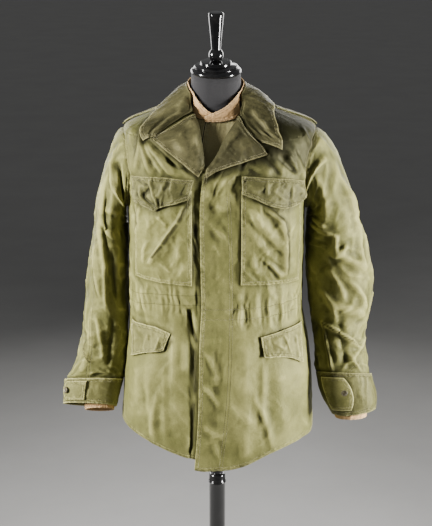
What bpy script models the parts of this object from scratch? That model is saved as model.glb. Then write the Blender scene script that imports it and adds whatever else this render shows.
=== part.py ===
"""Field jacket on a limbless dress form and its pole stand.

Metres, +Z up, the front faces -Y and +X is the wearer's left. The origin is on the floor, under the
middle of the stand's base. The jacket's body is one surface, body_point(angle, level): the angle goes
round the body from the centre front (0 degrees) to the wearer's left side (90) and the centre back
(180), the wearer's right side being negative, and the level climbs from the hem (0) to the neckline
(9) through the sections of BODY. Every panel, pocket, flap, lapel and collar is a wall of cloth on it.
"""

import math

import bpy
import bmesh
from mathutils import Matrix, Vector

# ---------------------------------------------------------------- driving sizes

CLOTH = 0.0016            # wall of the body, sleeves and collar
HEAVY_CLOTH = 0.0020      # wall of flaps, straps and cuffs, which are doubled
SEAM = 0.0003             # air left between two sewn edges
LAY = 0.0011              # air under a piece that lies on a panel
FLY_STEP = 0.0041         # how far the left front lies over the right one

UNDERARM = 5.0            # levels at the bottom and the top of the armhole
SHOULDER_TIP = 7.0
NECKLINE = 9.0
ARMHOLE_FRONT = 21.0      # degrees from the side seam to the armhole's front edge
ARMHOLE_BACK = 25.0
ARMHOLE_STEPS = 9         # rows of a panel along the armhole, half the columns of a sleeve

FORM_BOTTOM = 0.690       # underside of the dress form
NECK_BASE = Vector((-0.003, 0.002, 1.362))
NECK_LEAN = math.radians(8.0)
NECK_HEIGHT = 0.058
ROD_RADIUS = 0.0125
TUBE_RADIUS = 0.020
TUBE_TOP = 0.429
ROD_DEPTH = 0.060         # length of the rod inside the tube
BASE_RADIUS = 0.180
BASE_THICKNESS = 0.012
SOCKET_RADIUS = 0.034
SOCKET_TOP = 0.045
STAND_SIDES = 16          # facets round the rod and the tube, so that their gap is even
BASE_SIDES = 32

# Sections of the jacket's body. The hem dips at the centre front; z_front, z_side and z_back are the
# section's heights at the centre front, the side and the centre back, and front and back its depths
# there.
HEM_TILT = -0.040         # the hem hangs lower on the left, by metres of drop a metre of x
HEM_DROPS = ((-180.0, 0.0), (-60.0, 0.0), (-18.5, 0.0110), (0.0, 0.0030), (16.0, 0.0), (40.0, -0.0110),
             (62.0, -0.0040), (80.0, 0.0080), (90.0, 0.0090), (130.0, 0.0040), (180.0, 0.0))
RIGHT_HEM_RAISE = 0.22    # levels by which the right front stops short of the left one at the fly
# Columns: level, z_front, z_side, z_back, half_width, front, back, squareness, centre_x.
BODY = (
    (0.0, 0.508, 0.581, 0.578, 0.2310, 0.172, 0.165, 2.4, 0.002),
    (1.0, 0.640, 0.690, 0.690, 0.2260, 0.166, 0.160, 2.4, 0.002),
    (2.0, 0.770, 0.790, 0.790, 0.2140, 0.155, 0.146, 2.5, 0.002),
    (3.0, 0.885, 0.885, 0.890, 0.2045, 0.145, 0.130, 2.5, 0.000),
    (4.0, 1.000, 1.000, 1.000, 0.2055, 0.150, 0.135, 2.6, -0.001),
    (5.0, 1.105, 1.105, 1.105, 0.2065, 0.152, 0.140, 2.7, -0.001),
    (6.0, 1.190, 1.205, 1.200, 0.2130, 0.147, 0.140, 2.8, 0.002),
    (7.0, 1.255, 1.293, 1.285, 0.2220, 0.128, 0.122, 2.7, 0.006),
    (8.0, 1.308, 1.333, 1.338, 0.1500, 0.098, 0.096, 2.3, 0.002),
    (9.0, 1.345, 1.366, 1.380, 0.0665, 0.066, 0.070, 2.0, -0.003),
)

# Levels of the rows in the fronts and the back, apart from those along the armhole.
SKIRT_LEVELS = (0.0, 0.3, 0.85, 1.4, 1.95, 2.4, 2.7, 3.0, 3.3, 3.65, 4.3)
YOKE_LEVELS = (7.45, 7.95, 8.5, 9.0)
FRONT_COLUMNS = 22
BACK_COLUMNS = 24

# The inner edge of each front, as level and angle: the fly's edge up to the foot of the opening, then
# the line where the lapel rolls back, then the neckline. The right front ends in its hidden fly part.
LEFT_EDGE = ((0.0, -18.2), (1.2, -15.6), (2.2, -16.0), (3.3, -14.0), (5.5, -14.4), (6.15, -13.2),
             (6.4, -10.8), (6.7, -6.0), (7.0, -1.5), (7.43, 5.0), (8.17, 24.4), (8.5, 35.0), (9.0, 60.7))
RIGHT_EDGE = ((0.0, 6.0), (3.3, 9.0), (5.2, 8.0), (5.8, 0.0), (6.15, -11.5), (6.58, -14.4),
              (7.12, -18.0), (7.96, -25.4), (8.58, -38.2), (9.0, -60.8))

# Largest folds of the fronts, by x and z of their ends, half width and height; a trough's height is
# negative.
# Columns: x0, z0, x1, z1, width, height.
RIGHT_FOLDS = (
    (-0.060, 0.930, -0.058, 0.550, 0.013, -0.0060),
    (-0.093, 0.860, -0.092, 0.600, 0.022, 0.0045),
    (-0.145, 0.800, -0.152, 0.590, 0.020, 0.0035),
    (-0.185, 0.760, -0.200, 0.610, 0.016, 0.0035),
    (-0.163, 1.275, -0.148, 1.205, 0.011, 0.0045),
    (-0.128, 1.262, -0.108, 1.205, 0.011, 0.0040),
    (-0.178, 0.930, -0.186, 0.870, 0.016, 0.0030),
)
LEFT_FOLDS = (
    (0.030, 1.222, 0.012, 1.120, 0.014, 0.0045),
    (-0.010, 1.190, -0.004, 1.060, 0.014, -0.0030),
    (0.092, 1.240, 0.118, 1.208, 0.010, 0.0040),
    (0.185, 1.262, 0.178, 1.205, 0.012, -0.0050),
    (0.010, 0.840, -0.012, 0.560, 0.020, -0.0040),
    (0.062, 0.840, 0.064, 0.560, 0.020, 0.0050),
    (0.140, 0.760, 0.160, 0.590, 0.022, 0.0040),
    (0.192, 0.800, 0.208, 0.600, 0.016, 0.0035),
)
BACK_FOLDS = (
    (-0.120, 0.830, -0.140, 0.600, 0.022, 0.0050),
    (-0.040, 0.840, -0.045, 0.600, 0.022, 0.0045),
    (0.045, 0.840, 0.052, 0.600, 0.022, 0.0045),
    (0.125, 0.830, 0.145, 0.600, 0.022, 0.0050),
    (-0.150, 1.200, -0.120, 1.020, 0.020, 0.0050),
    (0.150, 1.200, 0.120, 1.020, 0.020, 0.0050),
)
GATHER_HEIGHT = 0.0024    # half height of the gathers that the waist's cord draws up
GATHER_LEVEL = 3.0
GATHER_REACH = 0.42       # levels over which they fade out

# The collar's fall by stations from the notch round the back: its inner edge and outer edge on the
# body, how high its roll stands over the neckline, and how much of the stand is there.
# Columns: inner_angle, inner_level, rise, outer_angle, outer_level.
COLLAR_RIGHT = (
    (-53.4, 7.15, 0.000, -59.2, 6.91),
    (-50.6, 7.60, 0.000, -62.0, 7.08),
    (-45.5, 8.12, 0.000, -64.5, 7.24),
    (-39.0, 8.60, 0.001, -66.3, 7.42),
    (-48.0, 8.85, 0.008, -69.0, 7.64),
    (-60.8, 9.00, 0.017, -76.0, 7.95),
    (-75.0, 9.00, 0.024, -85.0, 8.15),
    (-90.0, 9.00, 0.027, -97.0, 8.22),
    (-112.0, 9.00, 0.030, -115.0, 8.18),
    (-135.0, 9.00, 0.032, -137.0, 8.15),
    (-158.0, 9.00, 0.034, -159.0, 8.12),
    (-180.0, 9.00, 0.034, -180.0, 8.12),
)
COLLAR_LEFT = (
    (38.2, 7.12, 0.000, 49.3, 6.74),
    (34.0, 7.42, 0.000, 51.0, 7.02),
    (31.7, 7.80, 0.000, 51.8, 7.30),
    (35.0, 8.52, 0.001, 55.5, 7.58),
    (47.0, 8.80, 0.008, 60.0, 7.84),
    (60.7, 9.00, 0.017, 68.5, 8.10),
    (75.0, 9.00, 0.024, 79.0, 8.22),
    (90.0, 9.00, 0.027, 95.0, 8.26),
    (112.0, 9.00, 0.030, 114.0, 8.20),
    (135.0, 9.00, 0.032, 136.0, 8.16),
    (158.0, 9.00, 0.034, 158.5, 8.12),
    (180.0, 9.00, 0.034, 180.0, 8.12),
)

# The lapels, by the level of their roll and the outer edge that lies on the front.
# Columns: roll_level, outer_angle, outer_level.
LAPEL_RIGHT = (
    (6.44, -17.2, 6.14),
    (6.64, -25.0, 6.33),
    (6.90, -34.5, 6.55),
    (7.35, -44.4, 6.77),
    (7.80, -51.0, 6.95),
    (8.20, -54.2, 7.06),
    (8.50, -52.4, 7.25),
)
LAPEL_LEFT = (
    (6.37, -11.0, 6.14),
    (6.47, -3.5, 6.32),
    (6.75, 7.0, 6.46),
    (7.20, 20.0, 6.57),
    (7.70, 31.0, 6.64),
    (8.10, 39.6, 6.69),
    (8.42, 37.0, 7.05),
)
GORGE_BOW = 4.0           # degrees by which the left lapel's top edge bows to the front

# Patch pieces on the fronts, by x and z of their corners and of one point that bends the lower edge.
CHEST_POCKETS = {
    "right": {"top": 1.172, "foot": 0.950, "inner": -0.058, "outer": -0.188, "foot_outer": 0.958},
    "left": {"top": 1.172, "foot": 0.952, "inner": 0.054, "outer": 0.190, "foot_outer": 0.946},
}
# Columns: along, top_x, top_z, low_x, low_z.
CHEST_FLAP_RIGHT = (
    (0.00, -0.052, 1.196, -0.064, 1.153),
    (0.30, -0.092, 1.1985, -0.096, 1.142),
    (0.58, -0.128, 1.2010, -0.128, 1.131),
    (0.66, -0.138, 1.2008, -0.137, 1.124),
    (0.80, -0.158, 1.1995, -0.155, 1.131),
    (1.00, -0.190, 1.1970, -0.184, 1.140),
)
CHEST_FLAP_LEFT = (
    (0.00, 0.055, 1.2050, 0.055, 1.166),
    (0.28, 0.094, 1.2020, 0.087, 1.152),
    (0.52, 0.128, 1.1990, 0.120, 1.136),
    (0.70, 0.153, 1.1960, 0.149, 1.129),
    (0.86, 0.174, 1.1920, 0.176, 1.135),
    (1.00, 0.193, 1.1850, 0.194, 1.145),
)
LOWER_FLAP_RIGHT = (
    (0.00, -0.107, 0.834, -0.123, 0.791),
    (0.50, -0.152, 0.845, -0.162, 0.781),
    (1.00, -0.196, 0.846, -0.198, 0.762),
)
LOWER_FLAP_LEFT = (
    (0.00, 0.100, 0.826, 0.107, 0.778),
    (0.30, 0.128, 0.831, 0.132, 0.777),
    (0.62, 0.162, 0.838, 0.161, 0.771),
    (1.00, 0.197, 0.842, 0.194, 0.750),
)

# Sleeves below the cap: height and reach of the middle from the body's middle, its y, half sizes, and
# how far the section leans, front edge up (pitch) and outer edge up (roll), in degrees.
# Columns: z, reach, y, half_width, half_depth, pitch, roll.
SLEEVE_RIGHT = (
    (1.060, 0.2530, 0.022, 0.0400, 0.082, 0.0, 0.0),
    (0.985, 0.2593, 0.024, 0.0455, 0.078, 0.0, 0.0),
    (0.910, 0.2640, 0.022, 0.0500, 0.073, 4.0, 0.0),
    (0.847, 0.2675, 0.017, 0.0530, 0.068, 8.0, 0.0),
    (0.790, 0.2715, 0.009, 0.0555, 0.061, 12.0, 0.0),
    (0.735, 0.2800, -0.003, 0.0590, 0.052, 16.0, 0.0),
    (0.700, 0.2900, -0.014, 0.0640, 0.043, 20.0, 0.0),
    (0.674, 0.2990, -0.022, 0.0670, 0.036, 22.0, 0.0),
)
CUFF_RIGHT = (
    (0.681, 0.2978, -0.020, 0.0704, 0.0407, 22.0, 0.0),
    (0.664, 0.3020, -0.026, 0.0695, 0.0385, 23.0, 0.0),
    (0.642, 0.3055, -0.034, 0.0665, 0.0350, 25.0, 2.0),
    (0.622, 0.3075, -0.041, 0.0640, 0.0330, 27.0, 3.0),
)
LINER_CUFF_RIGHT = (
    (0.650, 0.2850, -0.031, 0.0360, 0.0240, 26.0, 0.0),
    (0.611, 0.2845, -0.043, 0.0350, 0.0250, 30.0, 0.0),
)
SLEEVE_LEFT = (
    (1.085, 0.2698, 0.020, 0.0570, 0.084, 0.0, 0.0),
    (1.030, 0.2820, 0.020, 0.0690, 0.078, 0.0, 0.0),
    (0.965, 0.2900, 0.017, 0.0765, 0.070, 2.0, 0.0),
    (0.905, 0.2972, 0.009, 0.0805, 0.064, 5.0, 0.0),
    (0.850, 0.2950, -0.001, 0.0710, 0.061, 10.0, 0.0),
    (0.791, 0.2935, -0.013, 0.0620, 0.058, 15.0, 0.0),
    (0.735, 0.2990, -0.028, 0.0610, 0.052, 20.0, 0.0),
    (0.695, 0.3045, -0.039, 0.0620, 0.0455, 17.0, -2.0),
)
CUFF_LEFT = (
    (0.704, 0.3040, -0.038, 0.0670, 0.0515, 18.0, -2.0),
    (0.678, 0.3095, -0.044, 0.0680, 0.0500, 14.0, -1.0),
    (0.647, 0.3190, -0.051, 0.0640, 0.0480, 8.0, 3.0),
    (0.616, 0.3290, -0.057, 0.0530, 0.0450, 3.0, 8.0),
)
LINER_CUFF_LEFT = (
    (0.645, 0.3200, -0.0562, 0.0400, 0.0330, 6.0, 4.0),
    (0.603, 0.3210, -0.0650, 0.0380, 0.0330, 4.0, 2.0),
)
SLEEVE_COLUMN_COUNT = 2 * ARMHOLE_STEPS
CAP_STEPS = 6
BELOW_CAP_STEPS = 10
TAB_TOP = 0.14            # shares of the way down the cuff
TAB_FOOT = 0.88
TAB_POINT = 12.0          # degrees by which the tab's corners stay behind its tip
BUTTON_RADIUS = 0.0075
BUTTON_THICKNESS = 0.0028

# Largest folds of the sleeves: each runs from one place to another, given by its share of the way
# down and its degrees round the sleeve (0 inner, 90 front, 180 outer, 270 back).
# Columns: down0, round0, down1, round1, width, height.
SLEEVE_RIGHT_FOLDS = (
    (0.10, 150.0, 0.42, 95.0, 0.013, 0.0060),
    (0.12, 120.0, 0.50, 70.0, 0.012, -0.0060),
    (0.32, 140.0, 0.46, 105.0, 0.010, 0.0045),
    (0.55, 130.0, 0.95, 118.0, 0.014, 0.0050),
    (0.30, 250.0, 0.55, 200.0, 0.016, 0.0060),
    (0.60, 290.0, 0.90, 270.0, 0.016, 0.0050),
)
SLEEVE_LEFT_FOLDS = (
    (0.10, 100.0, 0.34, 55.0, 0.013, 0.0065),
    (0.16, 140.0, 0.46, 160.0, 0.014, 0.0055),
    (0.40, 70.0, 0.50, 140.0, 0.012, 0.0060),
    (0.64, 60.0, 0.72, 150.0, 0.012, 0.0060),
    (0.70, 85.0, 0.95, 100.0, 0.010, -0.0060),
    (0.40, 300.0, 0.52, 220.0, 0.016, 0.0065),
    (0.62, 290.0, 0.80, 230.0, 0.016, 0.0055),
)

# The dress form inside: how far it lies in from the jacket's outer face at each level.
FORM_EASE = ((0.0, 0.022), (3.0, 0.016), (5.0, 0.018), (6.0, 0.015), (6.6, 0.008), (7.0, 0.0042),
             (7.6, 0.0030), (8.6, 0.0030), (9.0, 0.0085))
FRONT_EASE = 0.015        # more than that behind the opening, where the fronts fall clear
FORM_LEVELS = (1.35, 2.1, 3.0, 4.0, 5.0, 5.7, 6.2, 6.6, 7.0) + YOKE_LEVELS
FORM_COLUMNS = 24

# ---------------------------------------------------------------- finishes

SATEEN = ("olive_sateen", (0.235, 0.222, 0.105), 0.62)
SATEEN_DARK = ("olive_sateen_collar", (0.150, 0.135, 0.070), 0.66)
LINER = ("liner_poplin", (0.120, 0.105, 0.060), 0.75)
TAN = ("tan_liner_wool", (0.560, 0.370, 0.190), 0.80)
FORM_CLOTH = ("form_jersey", (0.045, 0.042, 0.048), 0.85)
BLACK_GLOSS = ("black_lacquer", (0.010, 0.010, 0.011), 0.12)
BUTTON = ("button_horn", (0.090, 0.075, 0.040), 0.45)


def finish(spec, metallic=0.0):
    name, colour, roughness = spec
    material = bpy.data.materials.get(name) or bpy.data.materials.new(name)
    material.use_nodes = True
    shader = material.node_tree.nodes["Principled BSDF"]
    shader.inputs["Base Color"].default_value = (*colour, 1.0)
    shader.inputs["Roughness"].default_value = roughness
    shader.inputs["Metallic"].default_value = metallic
    return material


# ---------------------------------------------------------------- smooth reading of the tables

def smooth_curve(places, values):
    """A curve through the values at the given places that never overshoots them."""
    steps = [b - a for a, b in zip(places, places[1:])]
    slopes = [(b - a) / s for a, b, s in zip(values, values[1:], steps)]
    tangents = [slopes[0]]
    for before, after, first, second in zip(slopes, slopes[1:], steps, steps[1:]):
        if before * after > 0.0:
            weight_before = 2.0 * second + first
            weight_after = second + 2.0 * first
            tangents.append((weight_before + weight_after) /
                            (weight_before / before + weight_after / after))
        else:
            tangents.append(0.0)
    tangents.append(slopes[-1])

    def at(place):
        index = 0
        while index < len(steps) - 1 and place > places[index + 1]:
            index += 1
        step = steps[index]
        t = (place - places[index]) / step
        return ((1 + 2 * t) * (1 - t) ** 2 * values[index]
                + t * (1 - t) ** 2 * step * tangents[index]
                + t * t * (3 - 2 * t) * values[index + 1]
                + t * t * (t - 1) * step * tangents[index + 1])

    return at


def table_curves(rows, places=None):
    """One smooth curve for each column of a table after the first, which gives the places.

    Where places is given, the first column is a value too."""
    columns = list(zip(*rows))
    if places is None:
        places = columns[0]
        columns = columns[1:]
    return [smooth_curve(places, column) for column in columns]


def even_places(rows):
    return [index / (len(rows) - 1) for index in range(len(rows))]


def smooth_step(low, high, value):
    t = min(max((value - low) / (high - low), 0.0), 1.0)
    return t * t * (3.0 - 2.0 * t)


def blend(a, b, t):
    return a + (b - a) * t


def hermite(start, start_way, end, end_way, t):
    return ((1 + 2 * t) * (1 - t) ** 2 * start + t * (1 - t) ** 2 * start_way
            + t * t * (3 - 2 * t) * end + t * t * (t - 1) * end_way)


# ---------------------------------------------------------------- the body's surface

BODY_CURVES = table_curves(BODY)
LEFT_EDGE_CURVE = table_curves(LEFT_EDGE)[0]
RIGHT_EDGE_CURVE = table_curves(RIGHT_EDGE)[0]
FORM_EASE_CURVE = table_curves(FORM_EASE)[0]
HEM_DROP_CURVE = table_curves(HEM_DROPS)[0]


def body_point(angle, level):
    """A point of the jacket's body without its folds."""
    z_front, z_side, z_back, half_width, front, back, squareness, centre_x = (
        curve(level) for curve in BODY_CURVES)
    sine = math.sin(math.radians(angle))
    cosine = math.cos(math.radians(angle))
    depth = front if cosine >= 0.0 else back
    z_end = z_front if cosine >= 0.0 else z_back
    radius = (abs(sine / half_width) ** squareness + abs(cosine / depth) ** squareness) ** (-1 / squareness)
    x = centre_x + radius * sine
    tilt = HEM_TILT * x * smooth_step(3.0, 0.0, level)
    drop = HEM_DROP_CURVE((angle + 180.0) % 360.0 - 180.0) * smooth_step(1.9, 0.0, level)
    return Vector((x, -radius * cosine, z_side + (z_end - z_side) * cosine ** 2 + tilt - drop))


def body_normal(angle, level):
    """The outward direction of the body's surface."""
    low = max(level - 0.05, 0.0)
    high = min(level + 0.05, NECKLINE)
    round_way = body_point(angle + 1.0, level) - body_point(angle - 1.0, level)
    up_way = body_point(angle, high) - body_point(angle, low)
    return round_way.cross(up_way).normalized()


def form_ease(angle, level):
    """How far the dress form lies in from the jacket's outer face."""
    at_front = smooth_step(75.0, 40.0, abs(angle))
    opening = at_front * smooth_step(5.8, 7.0, level) * smooth_step(9.0, 8.5, level)
    return FORM_EASE_CURVE(level) + FRONT_EASE * opening


def body_place(x, z):
    """The angle and level of the front's point at a given x and z."""
    angle = math.degrees(math.asin(max(min(x / 0.24, 1.0), -1.0)))
    level = 4.0
    for _ in range(14):
        here = body_point(angle, level)
        by_angle = (body_point(angle + 0.5, level) - here) / 0.5
        by_level = (body_point(angle, min(level + 0.02, NECKLINE)) - here) / 0.02
        miss_x = x - here.x
        miss_z = z - here.z
        spread = by_angle.x * by_level.z - by_angle.z * by_level.x
        angle += max(min((miss_x * by_level.z - miss_z * by_level.x) / spread, 12.0), -12.0)
        level += max(min((by_angle.x * miss_z - by_angle.z * miss_x) / spread, 0.8), -0.8)
        level = min(max(level, 0.0), NECKLINE - 0.02)
    return angle, level


def armhole_half_angle(level, widest):
    """Degrees from the side seam to the armhole's edge, an ellipse over the armhole's levels."""
    share = (level - UNDERARM) / (SHOULDER_TIP - UNDERARM)
    if not 0.0 < share < 1.0:
        return 0.0
    return widest * (2.0 * math.sqrt(share * (1.0 - share))) ** 0.85


def armhole_levels():
    steps = range(ARMHOLE_STEPS + 1)
    return [UNDERARM + (SHOULDER_TIP - UNDERARM) * (0.5 - 0.5 * math.cos(math.pi * k / ARMHOLE_STEPS))
            for k in steps]


def fold_height(folds, x, z):
    """How far the largest folds lift the cloth at a place of the front or the back."""
    height = 0.0
    for x0, z0, x1, z1, width, lift in folds:
        run_x = x1 - x0
        run_z = z1 - z0
        length = math.hypot(run_x, run_z)
        along = ((x - x0) * run_x + (z - z0) * run_z) / length ** 2
        across = ((x - x0) * run_z - (z - z0) * run_x) / length
        if -0.15 < along < 1.15:
            fade = smooth_step(-0.15, 0.25, along) * smooth_step(1.15, 0.75, along)
            height += lift * fade * math.exp(-(across / width) ** 2)
    return height


def gather_height(u, waves, level):
    """The waist's gathers, one for every two columns of the panel."""
    reach = math.exp(-((level - GATHER_LEVEL) / GATHER_REACH) ** 2)
    ends = smooth_step(0.10, 0.24, u) * smooth_step(1.0, 0.93, u)
    return GATHER_HEIGHT * math.cos(2.0 * math.pi * waves * u) * reach * ends


# ---------------------------------------------------------------- walls of cloth

def add_object(name, bm, spec, smooth=True):
    if bm.calc_volume(signed=True) < 0.0:
        bmesh.ops.reverse_faces(bm, faces=bm.faces[:])
    mesh = bpy.data.meshes.new(name)
    bm.to_mesh(mesh)
    bm.free()
    if smooth:
        mesh.shade_smooth()
        mesh.set_sharp_from_angle(angle=math.radians(50.0))
    mesh.materials.append(finish(spec))
    piece = bpy.data.objects.new(name, mesh)
    bpy.context.collection.objects.link(piece)
    return piece


def cloth_wall(name, columns, rows, place, spec, tube=False):
    """A wall of cloth: place(u, v) gives its outer and its inner point, u and v going from 0 to 1."""
    bm = bmesh.new()
    bmesh.ops.create_grid(bm, x_segments=columns, y_segments=rows, size=0.5)
    order = bm.verts.layers.int.new("order")
    pairs = []
    for index, vert in enumerate(bm.verts):
        vert[order] = index
        pairs.append(place(vert.co.x + 0.5, vert.co.y + 0.5))
    extruded = bmesh.ops.extrude_face_region(bm, geom=bm.faces[:])
    outer = {item for item in extruded["geom"] if isinstance(item, bmesh.types.BMVert)}
    for vert in bm.verts:
        outside, inside = pairs[vert[order]]
        vert.co = outside if vert in outer else inside
    if tube:
        side_faces = [face for face in bm.faces if face.calc_area() > 0.0]
        closing = [face for face in side_faces if is_closing_face(face, order, columns)]
        bmesh.ops.delete(bm, geom=closing, context="FACES")
        bmesh.ops.remove_doubles(bm, verts=bm.verts[:], dist=1e-6)
    return add_object(name, bm, spec)


def is_closing_face(face, order, columns):
    """True for a wall's end face along its first or last column, which a tube doesn't have."""
    spots = {vert[order] % (columns + 1) for vert in face.verts}
    return spots == {0} or spots == {columns}


# ---------------------------------------------------------------- fronts and back

class Panel:
    """A panel of the body, kept as a grid of outer points that the pieces lying on it use."""

    def __init__(self, inner_edge, outer_edge, columns, folds, under=None):
        self.inner_edge = inner_edge
        self.outer_edge = outer_edge
        self.columns = columns
        self.folds = folds
        self.waves = columns / 2
        self.under = under
        self.levels = list(SKIRT_LEVELS) + armhole_levels() + list(YOKE_LEVELS)
        self.grid = [[self.outer_point(column / columns, level) for column in range(columns + 1)]
                     for level in self.levels]

    def angle(self, u, level):
        return blend(self.inner_edge(level), self.outer_edge(level), u)

    def outer_point(self, u, level):
        angle = self.angle(u, level)
        if self.under:
            middle = math.cos(math.radians(angle)) ** 2
            level += RIGHT_HEM_RAISE * middle * smooth_step(1.6, 0.0, level)
        plain = body_point(angle, level)
        height = fold_height(self.folds, plain.x, plain.z) + gather_height(u, self.waves, level)
        if self.under:
            hidden = fold_height(self.under, plain.x, plain.z) - FLY_STEP
            height = blend(height, hidden, fly_share(angle, level))
        return plain + body_normal(angle, level) * height

    def place(self, u, v):
        row = round(v * (len(self.levels) - 1))
        level = self.levels[row]
        outside = self.grid[row][round(u * self.columns)]
        return outside, outside - body_normal(self.angle(u, level), level) * CLOTH

    def on_top(self, angle, level, out):
        """The point that lies out from the panel's cloth at an angle and level."""
        inner = self.inner_edge(level)
        outer = self.outer_edge(level)
        column = min(max((angle - inner) / (outer - inner), 0.0), 1.0) * self.columns
        left = min(int(column), self.columns - 1)
        row = 0
        while row < len(self.levels) - 2 and level > self.levels[row + 1]:
            row += 1
        across = column - left
        up = (level - self.levels[row]) / (self.levels[row + 1] - self.levels[row])
        low = blend(self.grid[row][left], self.grid[row][left + 1], across)
        high = blend(self.grid[row + 1][left], self.grid[row + 1][left + 1], across)
        return blend(low, high, up) + body_normal(angle, level) * out

    def wall(self, name):
        return cloth_wall(name, self.columns, len(self.levels) - 1, self.place, SATEEN)


def seam_angle(level):
    """Half the air of a side or shoulder seam, in degrees round the body."""
    half_width = BODY_CURVES[3](level)
    return math.degrees(0.75 * SEAM / half_width)


def fly_share(angle, level):
    """How far the right front lies under the left one, from 0 to 1."""
    return smooth_step(-24.0, -18.3, angle) * smooth_step(6.6, 6.2, level)


def make_panels():
    left = Panel(LEFT_EDGE_CURVE,
                 lambda level: 90.0 - armhole_half_angle(level, ARMHOLE_FRONT) - seam_angle(level),
                 FRONT_COLUMNS, LEFT_FOLDS)
    right = Panel(RIGHT_EDGE_CURVE,
                  lambda level: -90.0 + armhole_half_angle(level, ARMHOLE_FRONT) + seam_angle(level),
                  FRONT_COLUMNS, RIGHT_FOLDS, LEFT_FOLDS)
    back = Panel(lambda level: 90.0 + armhole_half_angle(level, ARMHOLE_BACK) + seam_angle(level),
                 lambda level: 270.0 - armhole_half_angle(level, ARMHOLE_BACK) - seam_angle(level),
                 BACK_COLUMNS, BACK_FOLDS)
    return {"left": left, "right": right, "back": back}


# ---------------------------------------------------------------- sleeves and cuffs

def tube_point(row, side, around, grow=0.0):
    """A point of a sleeve's section; around is 0 at the inner side, 90 in front and 180 outside."""
    z, reach, y, half_width, half_depth, pitch, roll = row
    outward = Vector((side * math.cos(math.radians(roll)), 0.0, math.sin(math.radians(roll))))
    forward = Vector((0.0, -math.cos(math.radians(pitch)), math.sin(math.radians(pitch))))
    turn = math.radians(around)
    return (Vector((side * reach, y, z)) - outward * (half_width + grow) * math.cos(turn)
            + forward * (half_depth + grow) * math.sin(turn))


def armhole_point(side, around, out):
    """A point of the armhole's loop, a hair inside the panels' edges."""
    tuck = 0.992
    turn = math.radians(around)
    share = 0.5 - 0.5 * math.cos(turn) * tuck
    level = UNDERARM + (SHOULDER_TIP - UNDERARM) * share
    in_front = math.sin(turn) >= 0.0
    widest = ARMHOLE_FRONT if in_front else ARMHOLE_BACK
    swing = widest * abs(math.sin(turn)) ** 0.85 * tuck
    angle = side * (90.0 - swing if in_front else 90.0 + swing)
    return body_point(angle, level) + body_normal(angle, level) * out


def sleeve_fold_height(folds, down, around):
    height = 0.0
    girth_radius = 0.065
    drop = 0.62
    for down0, round0, down1, round1, width, lift in folds:
        run_x = math.radians(round1 - round0) * girth_radius
        run_y = (down1 - down0) * drop
        at_x = math.radians(around - round0) * girth_radius
        at_y = (down - down0) * drop
        length = math.hypot(run_x, run_y)
        along = (at_x * run_x + at_y * run_y) / length ** 2
        across = (at_x * run_y - at_y * run_x) / length
        if -0.15 < along < 1.15:
            fade = smooth_step(-0.15, 0.25, along) * smooth_step(1.15, 0.75, along)
            height += lift * fade * math.exp(-(across / width) ** 2)
    return height


def sleeve_outer_point(side, rows, curves, folds, around, step):
    """The sleeve's outer point at a step: the cap first, then the tube below it."""
    if step <= CAP_STEPS:
        t = (step / CAP_STEPS) ** 1.25
        start = armhole_point(side, around, 0.0)
        end = tube_point(rows[0], side, around)
        top_share = 0.5 - 0.5 * math.cos(math.radians(around))
        start_way = Vector((side * (0.045 + 0.075 * top_share), 0.0, -0.03 * top_share))
        end_way = Vector((0.0, 0.0, -0.05 - 0.10 * top_share))
        point = hermite(start, start_way, end, end_way, t)
        down = 0.28 * step / CAP_STEPS
    else:
        share = (step - CAP_STEPS) / BELOW_CAP_STEPS
        point = tube_point([curve(share) for curve in curves], side, around)
        down = 0.28 + 0.72 * share
    middle = Vector((side * 0.26, point.y * 0.3, point.z))
    lift = sleeve_fold_height(folds, down, around) * smooth_step(0.0, 0.08, down)
    return point + (point - middle).normalized() * lift


def make_sleeve(name, side, rows, folds):
    curves = table_curves(rows, even_places(rows))
    steps = CAP_STEPS + BELOW_CAP_STEPS
    rings = []
    for step in range(steps + 1):
        ring = [sleeve_outer_point(side, rows, curves, folds, 360.0 * k / SLEEVE_COLUMN_COUNT, step)
                for k in range(SLEEVE_COLUMN_COUNT)]
        rings.append((ring, sum(ring, Vector()) / len(ring)))

    def place(u, v):
        ring, middle = rings[steps - round(v * steps)]
        outside = ring[round(u * SLEEVE_COLUMN_COUNT) % SLEEVE_COLUMN_COUNT]
        return outside, outside + (middle - outside).normalized() * CLOTH

    return cloth_wall(name, SLEEVE_COLUMN_COUNT, steps, place, SATEEN, tube=True)


def make_cuff(name, side, rows, steps, spec, thickness):
    """A band whose sections are in rows, from its top down."""
    curves = table_curves(rows, even_places(rows))

    def place(u, v):
        row = [curve(1.0 - v) for curve in curves]
        around = 360.0 * u
        return tube_point(row, side, around), tube_point(row, side, around, -thickness)

    return cloth_wall(name, SLEEVE_COLUMN_COUNT, steps, place, spec, tube=True)


def make_cuff_tab(name, side, rows, around0, around1):
    """The cuff's overlapping end, from its root at around0 to its blunt tip at around1."""
    curves = table_curves(rows, even_places(rows))

    def place(u, v):
        tip = around1 - TAB_POINT * (2.0 * v - 1.0) ** 2
        row = [curve(blend(TAB_TOP, TAB_FOOT, 1.0 - v)) for curve in curves]
        around = blend(around0, tip, u)
        return (tube_point(row, side, around, LAY + HEAVY_CLOTH), tube_point(row, side, around, LAY))

    return cloth_wall(name, 5, 4, place, SATEEN)


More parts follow.
